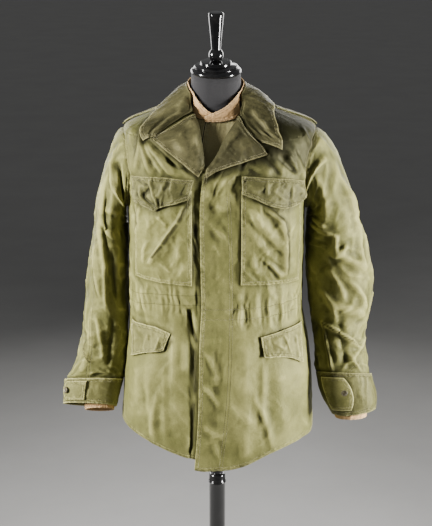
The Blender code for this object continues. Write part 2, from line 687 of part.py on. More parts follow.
def make_cuff_button(name, side, rows, around, down, lay):
    """The button that holds the cuff's tab; lay is the air under its middle, over the tab's bend."""
    row = [curve(down) for curve in table_curves(rows, even_places(rows))]
    place = tube_point(row, side, around, LAY + HEAVY_CLOTH + lay)
    facing = tube_point(row, side, around, 1.0) - tube_point(row, side, around, 0.0)
    profile = ((0.0, 0.0), (BUTTON_RADIUS, 0.0), (BUTTON_RADIUS, BUTTON_THICKNESS * 0.7),
               (BUTTON_RADIUS * 0.85, BUTTON_THICKNESS), (0.0, BUTTON_THICKNESS * 0.8))
    bm = turned(profile, 12)
    turn = Vector((0.0, 0.0, 1.0)).rotation_difference(facing.normalized()).to_matrix().to_4x4()
    bmesh.ops.transform(bm, matrix=Matrix.Translation(place) @ turn, verts=bm.verts[:])
    return add_object(name, bm, BUTTON)


# ---------------------------------------------------------------- collar and lapels

def collar_stations():
    """The whole collar in one table, from the right notch round the back to the left one."""
    left = [list(row) for row in reversed(COLLAR_LEFT)]
    right = [list(row) for row in COLLAR_RIGHT[:-1]]
    for row in left:
        row[0] -= 360.0
        row[3] -= 360.0
    return right + left


def lies_on(panels, angle, level, out):
    """A point out from whichever panel is at this angle, in -360 to 180 degrees."""
    turn = (angle + 180.0) % 360.0 - 180.0
    if abs(turn) >= 90.0:
        return body_point(turn, level) + body_normal(turn, level) * out
    return panels["left" if turn > 0.0 else "right"].on_top(turn, level, out)


COLLAR_LAY = 0.0052       # the fall's inner face over the shoulders
COLLAR_PUFF = 0.0045      # how much the fall's middle stands off
STAND_ROWS = 1
ROLL_ROWS = 3
FALL_ROWS = 5


def make_collar(panels):
    """Stand, roll and fall in one folded wall; the stand fades out towards the notches."""
    stations = collar_stations()
    curves = table_curves(stations, even_places(stations))
    columns = 27
    rows = STAND_ROWS + ROLL_ROWS + FALL_ROWS
    roll_half = 0.0024

    def column_points(u):
        inner_angle, inner_level, rise, outer_angle, outer_level = (curve(u) for curve in curves)
        inner_level = min(inner_level, NECKLINE)
        turn = (inner_angle + 180.0) % 360.0 - 180.0
        base = body_point(turn, inner_level)
        out_way = Vector((math.sin(math.radians(turn)), -math.cos(math.radians(turn)), 0.0))
        up = Vector((0.0, 0.0, 1.0))
        standing = smooth_step(0.002, 0.016, rise)
        normal = body_normal(turn, inner_level)
        foot = base + up * 0.0006 + normal * 0.004 * (1.0 - standing)
        top = base + up * (0.0006 + rise) + normal * 0.004 * (1.0 - standing)
        end = lies_on(panels, outer_angle, outer_level, COLLAR_LAY)
        fall_way = (end - top).normalized()
        points = []
        for row in range(STAND_ROWS):
            points.append(blend(foot, top - up * roll_half, row / STAND_ROWS))
        for row in range(ROLL_ROWS):
            swing = math.pi * row / (ROLL_ROWS - 1)
            outward = out_way * roll_half * (1.0 - math.cos(swing))
            offset = outward + up * roll_half * (math.sin(swing) - 1.0)
            points.append(top + offset * standing)
        for row in range(FALL_ROWS + 1):
            share = (row + 0.6) / (FALL_ROWS + 0.6)
            lift = COLLAR_PUFF * math.sin(math.pi * share) * (0.35 + 0.65 * standing)
            start = top + (out_way * 2.0 * roll_half - up * roll_half) * standing
            points.append(blend(start, end, share) + normal_over(fall_way, turn) * lift)
        flat = [blend(foot, end, 0.012 + 0.020 * k) for k in range(STAND_ROWS + ROLL_ROWS)]
        for row in range(STAND_ROWS + ROLL_ROWS):
            points[row] = blend(flat[row], points[row], standing)
        return points

    def normal_over(fall_way, turn):
        side_way = Vector((math.cos(math.radians(turn)), math.sin(math.radians(turn)), 0.0))
        return side_way.cross(fall_way).normalized() * -1.0

    inner_points = [column_points(column / columns) for column in range(columns + 1)]

    def wall_way(column, row):
        before = inner_points[column][max(row - 1, 0)]
        after = inner_points[column][min(row + 1, rows)]
        left = inner_points[max(column - 1, 0)][row]
        right = inner_points[min(column + 1, columns)][row]
        return (right - left).cross(after - before).normalized()

    def place(u, v):
        column = round(u * columns)
        row = round(v * rows)
        inside = inner_points[column][row]
        return inside - wall_way(column, row) * CLOTH, inside

    return cloth_wall("collar", columns, rows, place, SATEEN_DARK)


# The lapel's inner face round the front's edge: inward from the edge, and out from the front's face.
# Columns: inward, out.
LAPEL_ROLL = (
    (0.0120, -CLOTH - 0.0012),
    (0.0040, -CLOTH - 0.0012),
    (-0.0012, -CLOTH - 0.0010),
    (-0.0024, -CLOTH * 0.5),
    (-0.0012, 0.0010),
)


def make_lapel(name, panel, rows_table, bow):
    """A front's top turned back over itself: hidden part, roll, and the face that shows."""
    curves = table_curves(rows_table, even_places(rows_table))
    steps = 9
    face_columns = 5
    columns = len(LAPEL_ROLL) + face_columns - 1

    def lapel_points(v):
        roll_level, outer_angle, outer_level = (curve(v) for curve in curves)
        roll_angle = panel.inner_edge(roll_level)
        side = 1.0 if outer_angle > roll_angle else -1.0
        roll = panel.on_top(roll_angle, roll_level, 0.0)
        normal = body_normal(roll_angle, roll_level)
        inward = (panel.on_top(roll_angle + side * 4.0, roll_level, 0.0) - roll).normalized()
        points = [roll + inward * along + normal * out for along, out in LAPEL_ROLL]
        soft = 0.0012 + 0.0045 * smooth_step(0.0, 0.4, v)
        for column in range(face_columns):
            share = (column + 0.8) / (face_columns - 0.2)
            angle = blend(roll_angle, outer_angle, share) - bow * v ** 4 * math.sin(math.pi * share)
            level = blend(roll_level, outer_level, share)
            lift = LAY + soft * math.sin(math.pi * share) ** 0.8
            points.append(panel.on_top(angle, level, lift))
        return points

    grid = [lapel_points(step / steps) for step in range(steps + 1)]

    def wall_way(step, column):
        before = grid[step][max(column - 1, 0)]
        after = grid[step][min(column + 1, columns)]
        low = grid[max(step - 1, 0)][column]
        high = grid[min(step + 1, steps)][column]
        way = (after - before).cross(high - low).normalized()
        return way if grid[steps][columns].x > grid[steps][0].x else -way

    def place(u, v):
        step = round(v * steps)
        column = round(u * columns)
        inside = grid[step][column]
        return inside + wall_way(step, column) * CLOTH, inside

    return cloth_wall(name, columns, steps, place, SATEEN_DARK)


# ---------------------------------------------------------------- pockets, flaps and straps

def make_chest_pocket(name, panel, sizes):
    """A patch pocket whose middle stands a little off the front."""
    columns = 8
    rows = 9

    def place(u, v):
        foot = blend(sizes["foot"], sizes["foot_outer"], u)
        angle, level = body_place(blend(sizes["inner"], sizes["outer"], u), blend(foot, sizes["top"], v))
        edge = smooth_step(0.0, 0.14, u) * smooth_step(1.0, 0.86, u) * smooth_step(0.0, 0.12, v)
        out = LAY + 0.0007 + 0.0012 * edge
        return panel.on_top(angle, level, out + CLOTH + 0.0008 * edge), panel.on_top(angle, level, out)

    return cloth_wall(name, columns, rows, place, SATEEN)


def make_flap(name, panel, rows_table, lay, hang, columns):
    """A flap sewn along its top edge; its lower edge stands off by hang."""
    curves = table_curves(rows_table)
    rows = 4

    def place(u, v):
        top_x, top_z, low_x, low_z = (curve(u) for curve in curves)
        angle, level = body_place(blend(low_x, top_x, v), blend(low_z, top_z, v))
        out = lay + hang * (1.0 - v)
        return panel.on_top(angle, level, out + HEAVY_CLOTH), panel.on_top(angle, level, out)

    return cloth_wall(name, columns, rows, place, SATEEN)


STRAP_HALF_WIDTH = 0.023
STRAP_ANGLE = 97.0        # the strap's middle, a little behind the shoulder's ridge
STRAP_LEVELS = (7.10, 8.20)
STRAP_LAY = 0.0001


def make_shoulder_strap(name, side):
    """A shoulder strap from the sleeve's seam to under the collar."""
    columns = 4
    rows = 6

    def place(u, v):
        level = blend(STRAP_LEVELS[0], STRAP_LEVELS[1], v)
        half_width = BODY_CURVES[3](level)
        spread = math.degrees(STRAP_HALF_WIDTH / half_width)
        angle = side * (STRAP_ANGLE + spread * (2.0 * u - 1.0))
        out = STRAP_LAY + 0.0012 * math.sin(math.pi * v) + 0.0030 * (1.0 - v) ** 4
        base = body_point(angle, level)
        normal = body_normal(angle, level)
        return base + normal * (out + HEAVY_CLOTH), base + normal * out

    return cloth_wall(name, columns, rows, place, SATEEN)


# ---------------------------------------------------------------- the liner where it shows

# The tan neckband by its angle round the neck and the radius and height of its lower and upper edges.
# Columns: angle, low_radius, low_z, high_radius, high_z.
LINER_COLLAR = (
    (-19.0, 0.0797, 1.3170, 0.0755, 1.3290),
    (-9.0, 0.0780, 1.3165, 0.0730, 1.3350),
    (8.0, 0.0775, 1.3175, 0.0705, 1.3440),
    (20.0, 0.0795, 1.3200, 0.0690, 1.3520),
    (32.0, 0.0825, 1.3240, 0.0670, 1.3620),
    (43.0, 0.0800, 1.3350, 0.0655, 1.3710),
    (49.0, 0.0710, 1.3480, 0.0645, 1.3755),
    (54.0, 0.0640, 1.3535, 0.0635, 1.3790),
    (62.0, 0.0632, 1.3590, 0.0632, 1.3840),
    (90.0, 0.0636, 1.3690, 0.0636, 1.3980),
    (135.0, 0.0645, 1.3760, 0.0645, 1.4080),
    (180.0, 0.0668, 1.3810, 0.0668, 1.4120),
    (225.0, 0.0645, 1.3760, 0.0645, 1.4080),
    (270.0, 0.0636, 1.3690, 0.0636, 1.3980),
    (298.0, 0.0630, 1.3600, 0.0630, 1.3850),
    (306.0, 0.0634, 1.3540, 0.0632, 1.3790),
    (311.0, 0.0690, 1.3480, 0.0648, 1.3750),
    (316.0, 0.0745, 1.3385, 0.0655, 1.3700),
    (328.0, 0.0785, 1.3250, 0.0675, 1.3580),
    (343.0, 0.0735, 1.3215, 0.0700, 1.3430),
    (356.0, 0.0715, 1.3215, 0.0685, 1.3340),
)


def make_liner_collar():
    """The tan neckband inside the collar, its left end lying over its right end."""
    columns = 24
    places = [row[0] for row in LINER_COLLAR]
    curves = table_curves(LINER_COLLAR)

    def place(u, v):
        angle = blend(places[-1], places[0], u)
        low_radius, low_z, high_radius, high_z = (curve(angle) for curve in curves)
        turn = math.radians(angle)
        way = Vector((math.sin(turn), -math.cos(turn), 0.0))
        radius = blend(low_radius, high_radius, v)
        middle = Vector((NECK_BASE.x, 0.0, blend(low_z, high_z, v)))
        return middle + way * (radius + CLOTH), middle + way * radius

    return cloth_wall("liner_collar", columns, 1, place, TAN)


def make_liner_front(name, angles_low, angles_high, inset):
    """A liner front inside the opening, on the dress form's chest."""
    low_level = 5.75
    high_level = 8.5

    def place(u, v):
        level = blend(low_level, high_level, v)
        angle = blend(blend(angles_low[0], angles_low[1], u), blend(angles_high[0], angles_high[1], u), v)
        base = body_point(angle, level)
        normal = body_normal(angle, level)
        depth = form_ease(angle, level) - inset
        return base - normal * (depth - CLOTH), base - normal * depth

    return cloth_wall(name, 5, 7, place, LINER)


# ---------------------------------------------------------------- dress form and stand

def turned(profile, segments):
    """A solid turned about Z from (radius, height) pairs that start and end on the axis."""
    bm = bmesh.new()
    verts = [bm.verts.new((radius, 0.0, height)) for radius, height in profile]
    for first, second in zip(verts, verts[1:]):
        bm.edges.new((first, second))
    bmesh.ops.spin(bm, geom=bm.verts[:] + bm.edges[:], cent=(0.0, 0.0, 0.0), axis=(0.0, 0.0, 1.0),
                   angle=2.0 * math.pi, steps=segments, use_merge=True)
    bmesh.ops.remove_doubles(bm, verts=bm.verts[:], dist=1e-6)
    bmesh.ops.recalc_face_normals(bm, faces=bm.faces[:])
    return bm


def arc(centre_radius, centre_height, radius, start, end, steps):
    """Points of a round part of a profile, by degrees from the outward direction."""
    turns = [math.radians(blend(start, end, k / steps)) for k in range(steps + 1)]
    return [(centre_radius + radius * math.cos(t), centre_height + radius * math.sin(t)) for t in turns]


def neck_frame(height):
    """The place of a turned piece on the form's leaning neck."""
    lean = Matrix.Rotation(NECK_LEAN, 4, "X")
    return Matrix.Translation(NECK_BASE) @ lean @ Matrix.Translation((0.0, 0.0, height))


def form_ring(level):
    ring = []
    for column in range(FORM_COLUMNS):
        angle = 360.0 * column / FORM_COLUMNS
        turn = (angle + 180.0) % 360.0 - 180.0
        point = body_point(turn, level) - body_normal(turn, level) * form_ease(turn, level)
        ring.append(point)
    return ring


def neck_ring(height, radius):
    frame = neck_frame(height)
    return [frame @ Vector((radius * math.sin(2.0 * math.pi * k / FORM_COLUMNS),
                            -radius * math.cos(2.0 * math.pi * k / FORM_COLUMNS), 0.0))
            for k in range(FORM_COLUMNS)]


def make_form():
    """The smooth torso and neck, closed by a flat underside and a flat top under the cap."""
    rings = [form_ring(level) for level in FORM_LEVELS]
    bottom = [Vector((p.x, p.y, FORM_BOTTOM)) for p in rings[0]]
    rings[0] = [Vector((p.x, p.y, max(p.z, FORM_BOTTOM + 0.02))) for p in rings[0]]
    rings = [bottom] + rings
    rings += [neck_ring(0.014, 0.0590), neck_ring(0.030, 0.0578), neck_ring(NECK_HEIGHT, 0.0572)]
    bm = bmesh.new()
    bmesh.ops.create_grid(bm, x_segments=FORM_COLUMNS, y_segments=len(rings) - 1, size=0.5)
    for vert in bm.verts:
        ring = rings[round((vert.co.y + 0.5) * (len(rings) - 1))]
        vert.co = ring[round((vert.co.x + 0.5) * FORM_COLUMNS) % FORM_COLUMNS]
    bmesh.ops.remove_doubles(bm, verts=bm.verts[:], dist=1e-6)
    bmesh.ops.holes_fill(bm, edges=[edge for edge in bm.edges if edge.is_boundary])
    bmesh.ops.recalc_face_normals(bm, faces=bm.faces[:])
    return add_object("form_torso", bm, FORM_CLOTH)


def make_neck_cap():
    rim = 0.0585
    profile = ([(0.0, 0.0), (rim - 0.006, 0.0)] + arc(rim - 0.0055, 0.0055, 0.0055, -80.0, 80.0, 4)
               + [(0.0505, 0.0125), (0.0502, 0.0160), (0.0480, 0.0180), (0.0385, 0.0200),
                  (0.0370, 0.0250), (0.0320, 0.0272), (0.0125, 0.0290), (0.0, 0.0290)])
    bm = turned(profile, 20)
    bmesh.ops.transform(bm, matrix=neck_frame(NECK_HEIGHT + SEAM), verts=bm.verts[:])
    return add_object("neck_cap", bm, BLACK_GLOSS)


def make_finial():
    """The turned handle: a ball on the cap and a grip that widens upwards."""
    ball = 0.0170
    ball_height = 0.0423
    grip_top = 0.1405
    rounding = 0.0050
    profile = ([(0.0, 0.0293), (0.0085, 0.0293)] + arc(0.0, ball_height, ball, -48.0, 50.0, 6)
               + [(0.0109, 0.0580), (0.0130, 0.0850), (0.0157, 0.1130), (0.0178, grip_top - rounding)]
               + arc(0.0178 - rounding, grip_top - rounding, rounding, 30.0, 90.0, 2) + [(0.0, grip_top)])
    bm = turned(profile, 14)
    bmesh.ops.transform(bm, matrix=neck_frame(NECK_HEIGHT + SEAM), verts=bm.verts[:])
    return add_object("finial", bm, BLACK_GLOSS)


def make_stand():
    """Rod under the form, tube that it slides in, and round cast base."""
    rod = turned([(0.0, TUBE_TOP - ROD_DEPTH), (ROD_RADIUS, TUBE_TOP - ROD_DEPTH),
                  (ROD_RADIUS, FORM_BOTTOM - SEAM), (0.0, FORM_BOTTOM - SEAM)], STAND_SIDES)
    add_object("inner_rod", rod, BLACK_GLOSS)

    bore = ROD_RADIUS + SEAM
    foot = BASE_THICKNESS + SEAM
    dome = arc(TUBE_RADIUS - 0.0060, TUBE_TOP - 0.0060, 0.0060, 0.0, 90.0, 4)
    ring = [(TUBE_RADIUS, TUBE_TOP - 0.026), (TUBE_RADIUS - 0.0012, TUBE_TOP - 0.0245),
            (TUBE_RADIUS - 0.0012, TUBE_TOP - 0.0205), (TUBE_RADIUS, TUBE_TOP - 0.019)]
    tube = turned([(0.0, foot), (TUBE_RADIUS, foot)] + ring + dome
                  + [(bore, TUBE_TOP), (bore, TUBE_TOP - ROD_DEPTH - SEAM),
                     (0.0, TUBE_TOP - ROD_DEPTH - SEAM)], STAND_SIDES)
    add_object("stand_tube", tube, BLACK_GLOSS)

    socket = TUBE_RADIUS + SEAM
    edge = arc(BASE_RADIUS - 0.003, 0.003, 0.003, -90.0, 30.0, 3)
    base = turned([(0.0, 0.0)] + edge
                  + [(BASE_RADIUS - 0.030, BASE_THICKNESS - 0.003), (SOCKET_RADIUS + 0.012, 0.0155),
                     (SOCKET_RADIUS, 0.0205), (SOCKET_RADIUS - 0.002, SOCKET_TOP - 0.004),
                     (SOCKET_RADIUS - 0.006, SOCKET_TOP), (socket, SOCKET_TOP),
                     (socket, BASE_THICKNESS), (0.0, BASE_THICKNESS)], BASE_SIDES)
    add_object("stand_base", base, BLACK_GLOSS)


# ---------------------------------------------------------------- the whole part

def clear_scene():
    for piece in list(bpy.data.objects):
        bpy.data.objects.remove(piece, do_unlink=True)


def make_jacket():
    panels = make_panels()
    panels["left"].wall("front_left")
    panels["right"].wall("front_right")
    panels["back"].wall("back")
    make_sleeve("sleeve_right", -1, SLEEVE_RIGHT, SLEEVE_RIGHT_FOLDS)
    make_sleeve("sleeve_left", 1, SLEEVE_LEFT, SLEEVE_LEFT_FOLDS)
    make_cuff("cuff_right", -1, CUFF_RIGHT, 3, SATEEN, HEAVY_CLOTH)
    make_cuff("cuff_left", 1, CUFF_LEFT, 3, SATEEN, HEAVY_CLOTH)
    make_cuff("liner_cuff_right", -1, LINER_CUFF_RIGHT, 1, TAN, CLOTH)
    make_cuff("liner_cuff_left", 1, LINER_CUFF_LEFT, 1, TAN, CLOTH)
    make_cuff_tab("cuff_tab_right", -1, CUFF_RIGHT, 100.0, 160.0)
    make_cuff_tab("cuff_tab_left", 1, CUFF_LEFT, 34.0, 96.0)
    make_cuff_button("cuff_button_right", -1, CUFF_RIGHT, 144.0, 0.5, 0.0018)
    make_cuff_button("cuff_button_left", 1, CUFF_LEFT, 80.0, 0.5, 0.0008)
    make_collar(panels)
    make_lapel("lapel_right", panels["right"], LAPEL_RIGHT, 0.0)
    make_lapel("lapel_left", panels["left"], LAPEL_LEFT, GORGE_BOW)
    flaps = {"chest_flap": (CHEST_FLAP_RIGHT, CHEST_FLAP_LEFT, 0.0051, 0.0030, 9),
             "lower_flap": (LOWER_FLAP_RIGHT, LOWER_FLAP_LEFT, 0.0024, 0.0028, 7)}
    for side, panel in (("right", panels["right"]), ("left", panels["left"])):
        make_chest_pocket(f"chest_pocket_{side}", panel, CHEST_POCKETS[side])
        for kind, (right_rows, left_rows, lay, hang, columns) in flaps.items():
            rows = right_rows if side == "right" else left_rows
            make_flap(f"{kind}_{side}", panel, rows, lay, hang, columns)
    make_shoulder_strap("shoulder_strap_right", -1)
    make_shoulder_strap("shoulder_strap_left", 1)
    make_liner_collar()
    make_liner_front("liner_front_left", (-20.0, 8.0), (-17.0, 56.0), 0.0018)
    make_liner_front("liner_front_right", (-34.0, -21.0), (-56.0, -18.0), 0.0013)


clear_scene()
make_jacket()
make_form()
make_neck_cap()
make_finial()
make_stand()
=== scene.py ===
"""Looks of a field jacket on a limbless dress form and its pole stand.

Metres, +Z up, the front faces -Y and +X is the wearer's left. Every piece of cloth is a fine grid on the
same body as its solid: body_point(angle, level) goes round from the centre front (0 degrees) to the
wearer's left side (90) and up from the hem (0) to the neckline (9).
"""

import math
from dataclasses import dataclass

import bmesh
import bpy
import numpy as np
from mathutils import Matrix, Vector


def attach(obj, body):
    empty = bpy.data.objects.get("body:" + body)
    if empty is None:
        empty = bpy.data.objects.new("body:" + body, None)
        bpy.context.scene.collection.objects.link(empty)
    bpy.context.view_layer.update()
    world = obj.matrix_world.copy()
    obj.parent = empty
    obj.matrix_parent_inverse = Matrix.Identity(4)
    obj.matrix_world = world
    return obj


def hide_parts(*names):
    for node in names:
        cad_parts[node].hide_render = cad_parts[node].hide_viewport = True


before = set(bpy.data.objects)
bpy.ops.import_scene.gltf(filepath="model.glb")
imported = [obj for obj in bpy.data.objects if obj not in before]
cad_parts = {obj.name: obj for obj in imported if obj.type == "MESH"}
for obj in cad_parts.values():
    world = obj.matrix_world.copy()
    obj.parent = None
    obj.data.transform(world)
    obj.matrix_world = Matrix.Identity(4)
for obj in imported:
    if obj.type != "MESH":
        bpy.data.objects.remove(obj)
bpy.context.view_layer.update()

# ---------------- driving sizes
# Metres and degrees, except inside in_metres().

def in_metres(rows, first=0, last=None):
    """Turns a table's millimetres into metres, from its column first up to the one before last."""
    return tuple((*row[:first], *(value / 1000.0 for value in row[first:last]),
                  *(row[last:] if last else ())) for row in rows)


CLOTH = 0.0016
HEAVY_CLOTH = 0.002       # cloth laid double, as in cuffs, flaps and straps
LAY = 0.0011              # gap between a piece and the one it lies on
TAB_LAY = LAY + HEAVY_CLOTH + 0.0006    # a cuff tab's outer face over the cuff's
FIT = 0.0003              # gap between parts of the stand
FLY_STEP = 0.0041
UNDERARM = 5.0
SHOULDER_TIP = 7.0
NECKLINE = 9.0
ARMHOLE_FRONT = 21.0      # degrees by which the armhole cuts into the front, and into the back
ARMHOLE_BACK = 25.0
ARMHOLE_ROUNDNESS = 0.85
FAR = 0.2                 # what is marked on cloth that has no such edge or seam, in metres
FORM_BOTTOM = 0.69
NECK_BASE = Vector((-0.003, 0.002, 1.362))
NECK_LEAN = math.radians(8.0)
NECK_HEIGHT = 0.058
HEM_TILT = -0.04          # height gained by each metre to the left, and the level where that ends
HEM_TILT_TOP = 3.0
HEM_DROP_TOP = 1.9

HEM_DROPS = (
    (-180, 0), (-60, 0), (-18.5, 0.011), (0, 0.003), (16, 0), (40, -0.011), (62, -0.004), (80, 0.008),
    (90, 0.009), (130, 0.004), (180, 0),
)
RIGHT_HEM_RAISE = 0.22
# Columns: level, z_front, z_side, z_back, half_width, front, back, squareness, centre_x.
BODY = (
    (0, 0.508, 0.581, 0.578, 0.231, 0.172, 0.165, 2.4, 0.002),
    (1, 0.64, 0.69, 0.69, 0.226, 0.166, 0.16, 2.4, 0.002),
    (2, 0.77, 0.79, 0.79, 0.214, 0.155, 0.146, 2.5, 0.002),
    (3, 0.885, 0.885, 0.89, 0.2045, 0.145, 0.13, 2.5, 0), (4, 1, 1, 1, 0.2055, 0.15, 0.135, 2.6, -0.001),
    (5, 1.105, 1.105, 1.105, 0.2065, 0.152, 0.14, 2.7, -0.001),
    (6, 1.19, 1.205, 1.2, 0.213, 0.147, 0.14, 2.8, 0.002),
    (7, 1.255, 1.293, 1.285, 0.222, 0.128, 0.122, 2.7, 0.006),
    (8, 1.308, 1.333, 1.338, 0.15, 0.098, 0.096, 2.3, 0.002),
    (9, 1.345, 1.366, 1.38, 0.0665, 0.066, 0.07, 2, -0.003),
)

# The inner edge of each front, as level and angle: the fly's edge up to the foot of the opening, then
# the line where the lapel rolls back, then the neckline. The right front ends in its hidden fly part.
LEFT_EDGE = (
    (0, -18.2), (1.2, -15.6), (2.2, -16), (3.3, -14), (5.5, -14.4), (6.15, -13.2), (6.4, -10.8), (6.7, -6),
    (7, -1.5), (7.43, 5), (8.17, 24.4), (8.5, 35), (9, 60.7),
)
RIGHT_EDGE = (
    (0, 6), (3.3, 9), (5.2, 8), (5.8, 0), (6.15, -11.5), (6.58, -14.4), (7.12, -18), (7.96, -25.4),
    (8.58, -38.2), (9, -60.8),
)

# Largest folds of the fronts and the back, by x and z of their ends, half width and height; a
# trough's height is negative.
# Columns: x0, z0, x1, z1, width, height.
RIGHT_FOLDS = in_metres((
    (-60, 930, -58, 550, 13, -6), (-93, 860, -92, 600, 22, 4.5), (-145, 800, -152, 590, 20, 3.5),
    (-185, 760, -200, 610, 16, 3.5), (-163, 1275, -148, 1205, 11, 4.5), (-128, 1262, -108, 1205, 11, 4),
    (-178, 930, -186, 870, 16, 3),
))
LEFT_FOLDS = in_metres((
    (30, 1222, 12, 1120, 14, 4.5), (-10, 1190, -4, 1060, 14, -3), (92, 1240, 118, 1208, 10, 4),
    (185, 1262, 178, 1205, 12, -5), (10, 840, -12, 560, 20, -4), (62, 850, 68, 540, 36, 9),
    (140, 760, 160, 590, 22, 4), (192, 800, 208, 600, 16, 3.5),
))
BACK_FOLDS = in_metres((
    (-120, 830, -140, 600, 22, 5), (-40, 840, -45, 600, 22, 4.5), (45, 840, 52, 600, 22, 4.5),
    (125, 830, 145, 600, 22, 5), (-150, 1200, -120, 1020, 20, 5), (150, 1200, 120, 1020, 20, 5),
))
GATHER_HEIGHT = 0.0016
GATHER_LEVEL = 3.0
GATHER_REACH = 0.42

# The collar's fall by stations from the notch round the back: its inner and outer edge on the body, and
# how high its roll stands over the inner one.
# Columns: inner_angle, inner_level, rise, outer_angle, outer_level.
COLLAR_RIGHT = (
    (-53.4, 7.15, 0, -59.2, 6.91), (-50.6, 7.6, 0, -62, 7.08), (-45.5, 8.12, 0, -64.5, 7.24),
    (-39, 8.6, 0.001, -66.3, 7.42), (-48, 8.85, 0.008, -69, 7.64), (-60.8, 9, 0.017, -76, 7.95),
    (-75, 9, 0.024, -85, 8.15), (-90, 9, 0.027, -97, 8.22), (-112, 9, 0.03, -115, 8.18),
    (-135, 9, 0.032, -137, 8.15), (-158, 9, 0.034, -159, 8.12), (-180, 9, 0.034, -180, 8.12),
)
COLLAR_LEFT = (
    (38.2, 7.12, 0, 49.3, 6.74), (34, 7.42, 0, 51, 7.02), (31.7, 7.8, 0, 51.8, 7.3),
    (35, 8.52, 0.001, 55.5, 7.58), (47, 8.8, 0.008, 60, 7.84), (60.7, 9, 0.017, 68.5, 8.1),
    (75, 9, 0.024, 79, 8.22), (90, 9, 0.027, 95, 8.26), (112, 9, 0.03, 114, 8.2), (135, 9, 0.032, 136, 8.16),
    (158, 9, 0.034, 158.5, 8.12), (180, 9, 0.034, 180, 8.12),
)

# The lapels, by the level of their roll and the outer edge that lies on the front.
# Columns: roll_level, outer_angle, outer_level.
LAPEL_RIGHT = (
    (6.44, -17.2, 6.14), (6.64, -25, 6.33), (6.9, -34.5, 6.55), (7.35, -44.4, 6.77), (7.8, -51, 6.95),
    (8.2, -54.2, 7.06), (8.5, -52.4, 7.25),
)
LAPEL_LEFT = (
    (6.37, -11, 6.14), (6.47, -3.5, 6.32), (6.75, 7, 6.46), (7.2, 20, 6.57), (7.7, 31, 6.64),
    (8.1, 39.6, 6.69), (8.42, 37, 7.05),
)
GORGE_BOW = 4.0           # degrees by which the left lapel's top edge bows to the front

# Chest pockets by the height of their top and foot and the x of their sides; the foot's height at the
# outer side is its own. Flaps by x and z of their upper and lower edge, by shares along them.
CHEST_POCKETS = {
    "right": {"top": 1.172, "foot": 0.95, "inner": -0.058, "outer": -0.188, "foot_outer": 0.958},
    "left": {"top": 1.172, "foot": 0.952, "inner": 0.054, "outer": 0.19, "foot_outer": 0.946},
}
# Columns: along, top_x, top_z, low_x, low_z.
CHEST_FLAP_RIGHT = in_metres((
    (0, -52, 1196, -64, 1153), (0.3, -92, 1198.5, -96, 1142), (0.58, -128, 1201, -128, 1131),
    (0.66, -138, 1200.8, -137, 1124), (0.8, -158, 1199.5, -155, 1131), (1, -190, 1197, -184, 1140),
), 1)
CHEST_FLAP_LEFT = in_metres((
    (0, 55, 1205, 55, 1166), (0.28, 94, 1202, 87, 1152), (0.52, 128, 1199, 120, 1136),
    (0.7, 153, 1196, 149, 1129), (0.86, 174, 1192, 176, 1135), (1, 193, 1185, 194, 1145),
), 1)
LOWER_FLAP_RIGHT = in_metres((
    (0, -107, 834, -123, 791), (0.5, -152, 845, -162, 781), (1, -196, 846, -198, 762),
), 1)
LOWER_FLAP_LEFT = in_metres((
    (0, 100, 826, 107, 778), (0.3, 128, 831, 132, 777), (0.62, 162, 838, 161, 771), (1, 197, 842, 194, 750),
), 1)

# Sleeves below the cap: height and reach of the middle from the body's middle, its y, half sizes, and
# how far the section leans, front edge up (pitch) and outer edge up (roll), in degrees.
# Columns: z, reach, y, half_width, half_depth, pitch, roll.
SLEEVE_RIGHT = in_metres((
    (1060, 253, 22, 40, 82, 0, 0), (985, 259.3, 24, 45.5, 78, 0, 0), (910, 264, 22, 50, 73, 4, 0),
    (847, 267.5, 17, 53, 68, 8, 0), (790, 271.5, 9, 55.5, 61, 12, 0), (735, 280, -3, 59, 52, 16, 0),
    (700, 290, -14, 64, 43, 20, 0), (674, 299, -22, 67, 36, 22, 0),
), 0, 5)
CUFF_RIGHT = in_metres((
    (681, 297.8, -20, 70.4, 40.7, 22, 0), (664, 302, -26, 69.5, 38.5, 23, 0),
    (642, 305.5, -34, 66.5, 35, 25, 2), (622, 307.5, -41, 64, 33, 27, 3),
), 0, 5)
LINER_CUFF_RIGHT = in_metres((
    (650, 285, -31, 36, 24, 26, 0), (611, 284.5, -43, 35, 25, 30, 0),
), 0, 5)
SLEEVE_LEFT = in_metres((
    (1085, 269.8, 20, 57, 84, 0, 0), (1030, 282, 20, 69, 78, 0, 0), (965, 290, 17, 76.5, 70, 2, 0),
    (905, 297.2, 9, 80.5, 64, 5, 0), (850, 295, -1, 71, 61, 10, 0), (791, 293.5, -13, 62, 58, 15, 0),
    (735, 299, -28, 61, 52, 20, 0), (695, 304.5, -39, 62, 45.5, 17, -2),
), 0, 5)
CUFF_LEFT = in_metres((
    (704, 304, -38, 67, 51.5, 18, -2), (678, 309.5, -44, 68, 50, 14, -1), (647, 319, -51, 64, 48, 8, 3),
    (616, 329, -57, 53, 45, 3, 8),
), 0, 5)
LINER_CUFF_LEFT = in_metres((
    (645, 320, -56.2, 40, 33, 6, 4), (603, 321, -65, 38, 33, 4, 2),
), 0, 5)
TAB_TOP = 0.14            # shares of the way down the cuff
TAB_FOOT = 0.88
TAB_POINT = 12.0          # degrees by which the tab's corners stay behind its tip
BUTTON_RADIUS = 0.0075
BUTTON_THICKNESS = 0.0028

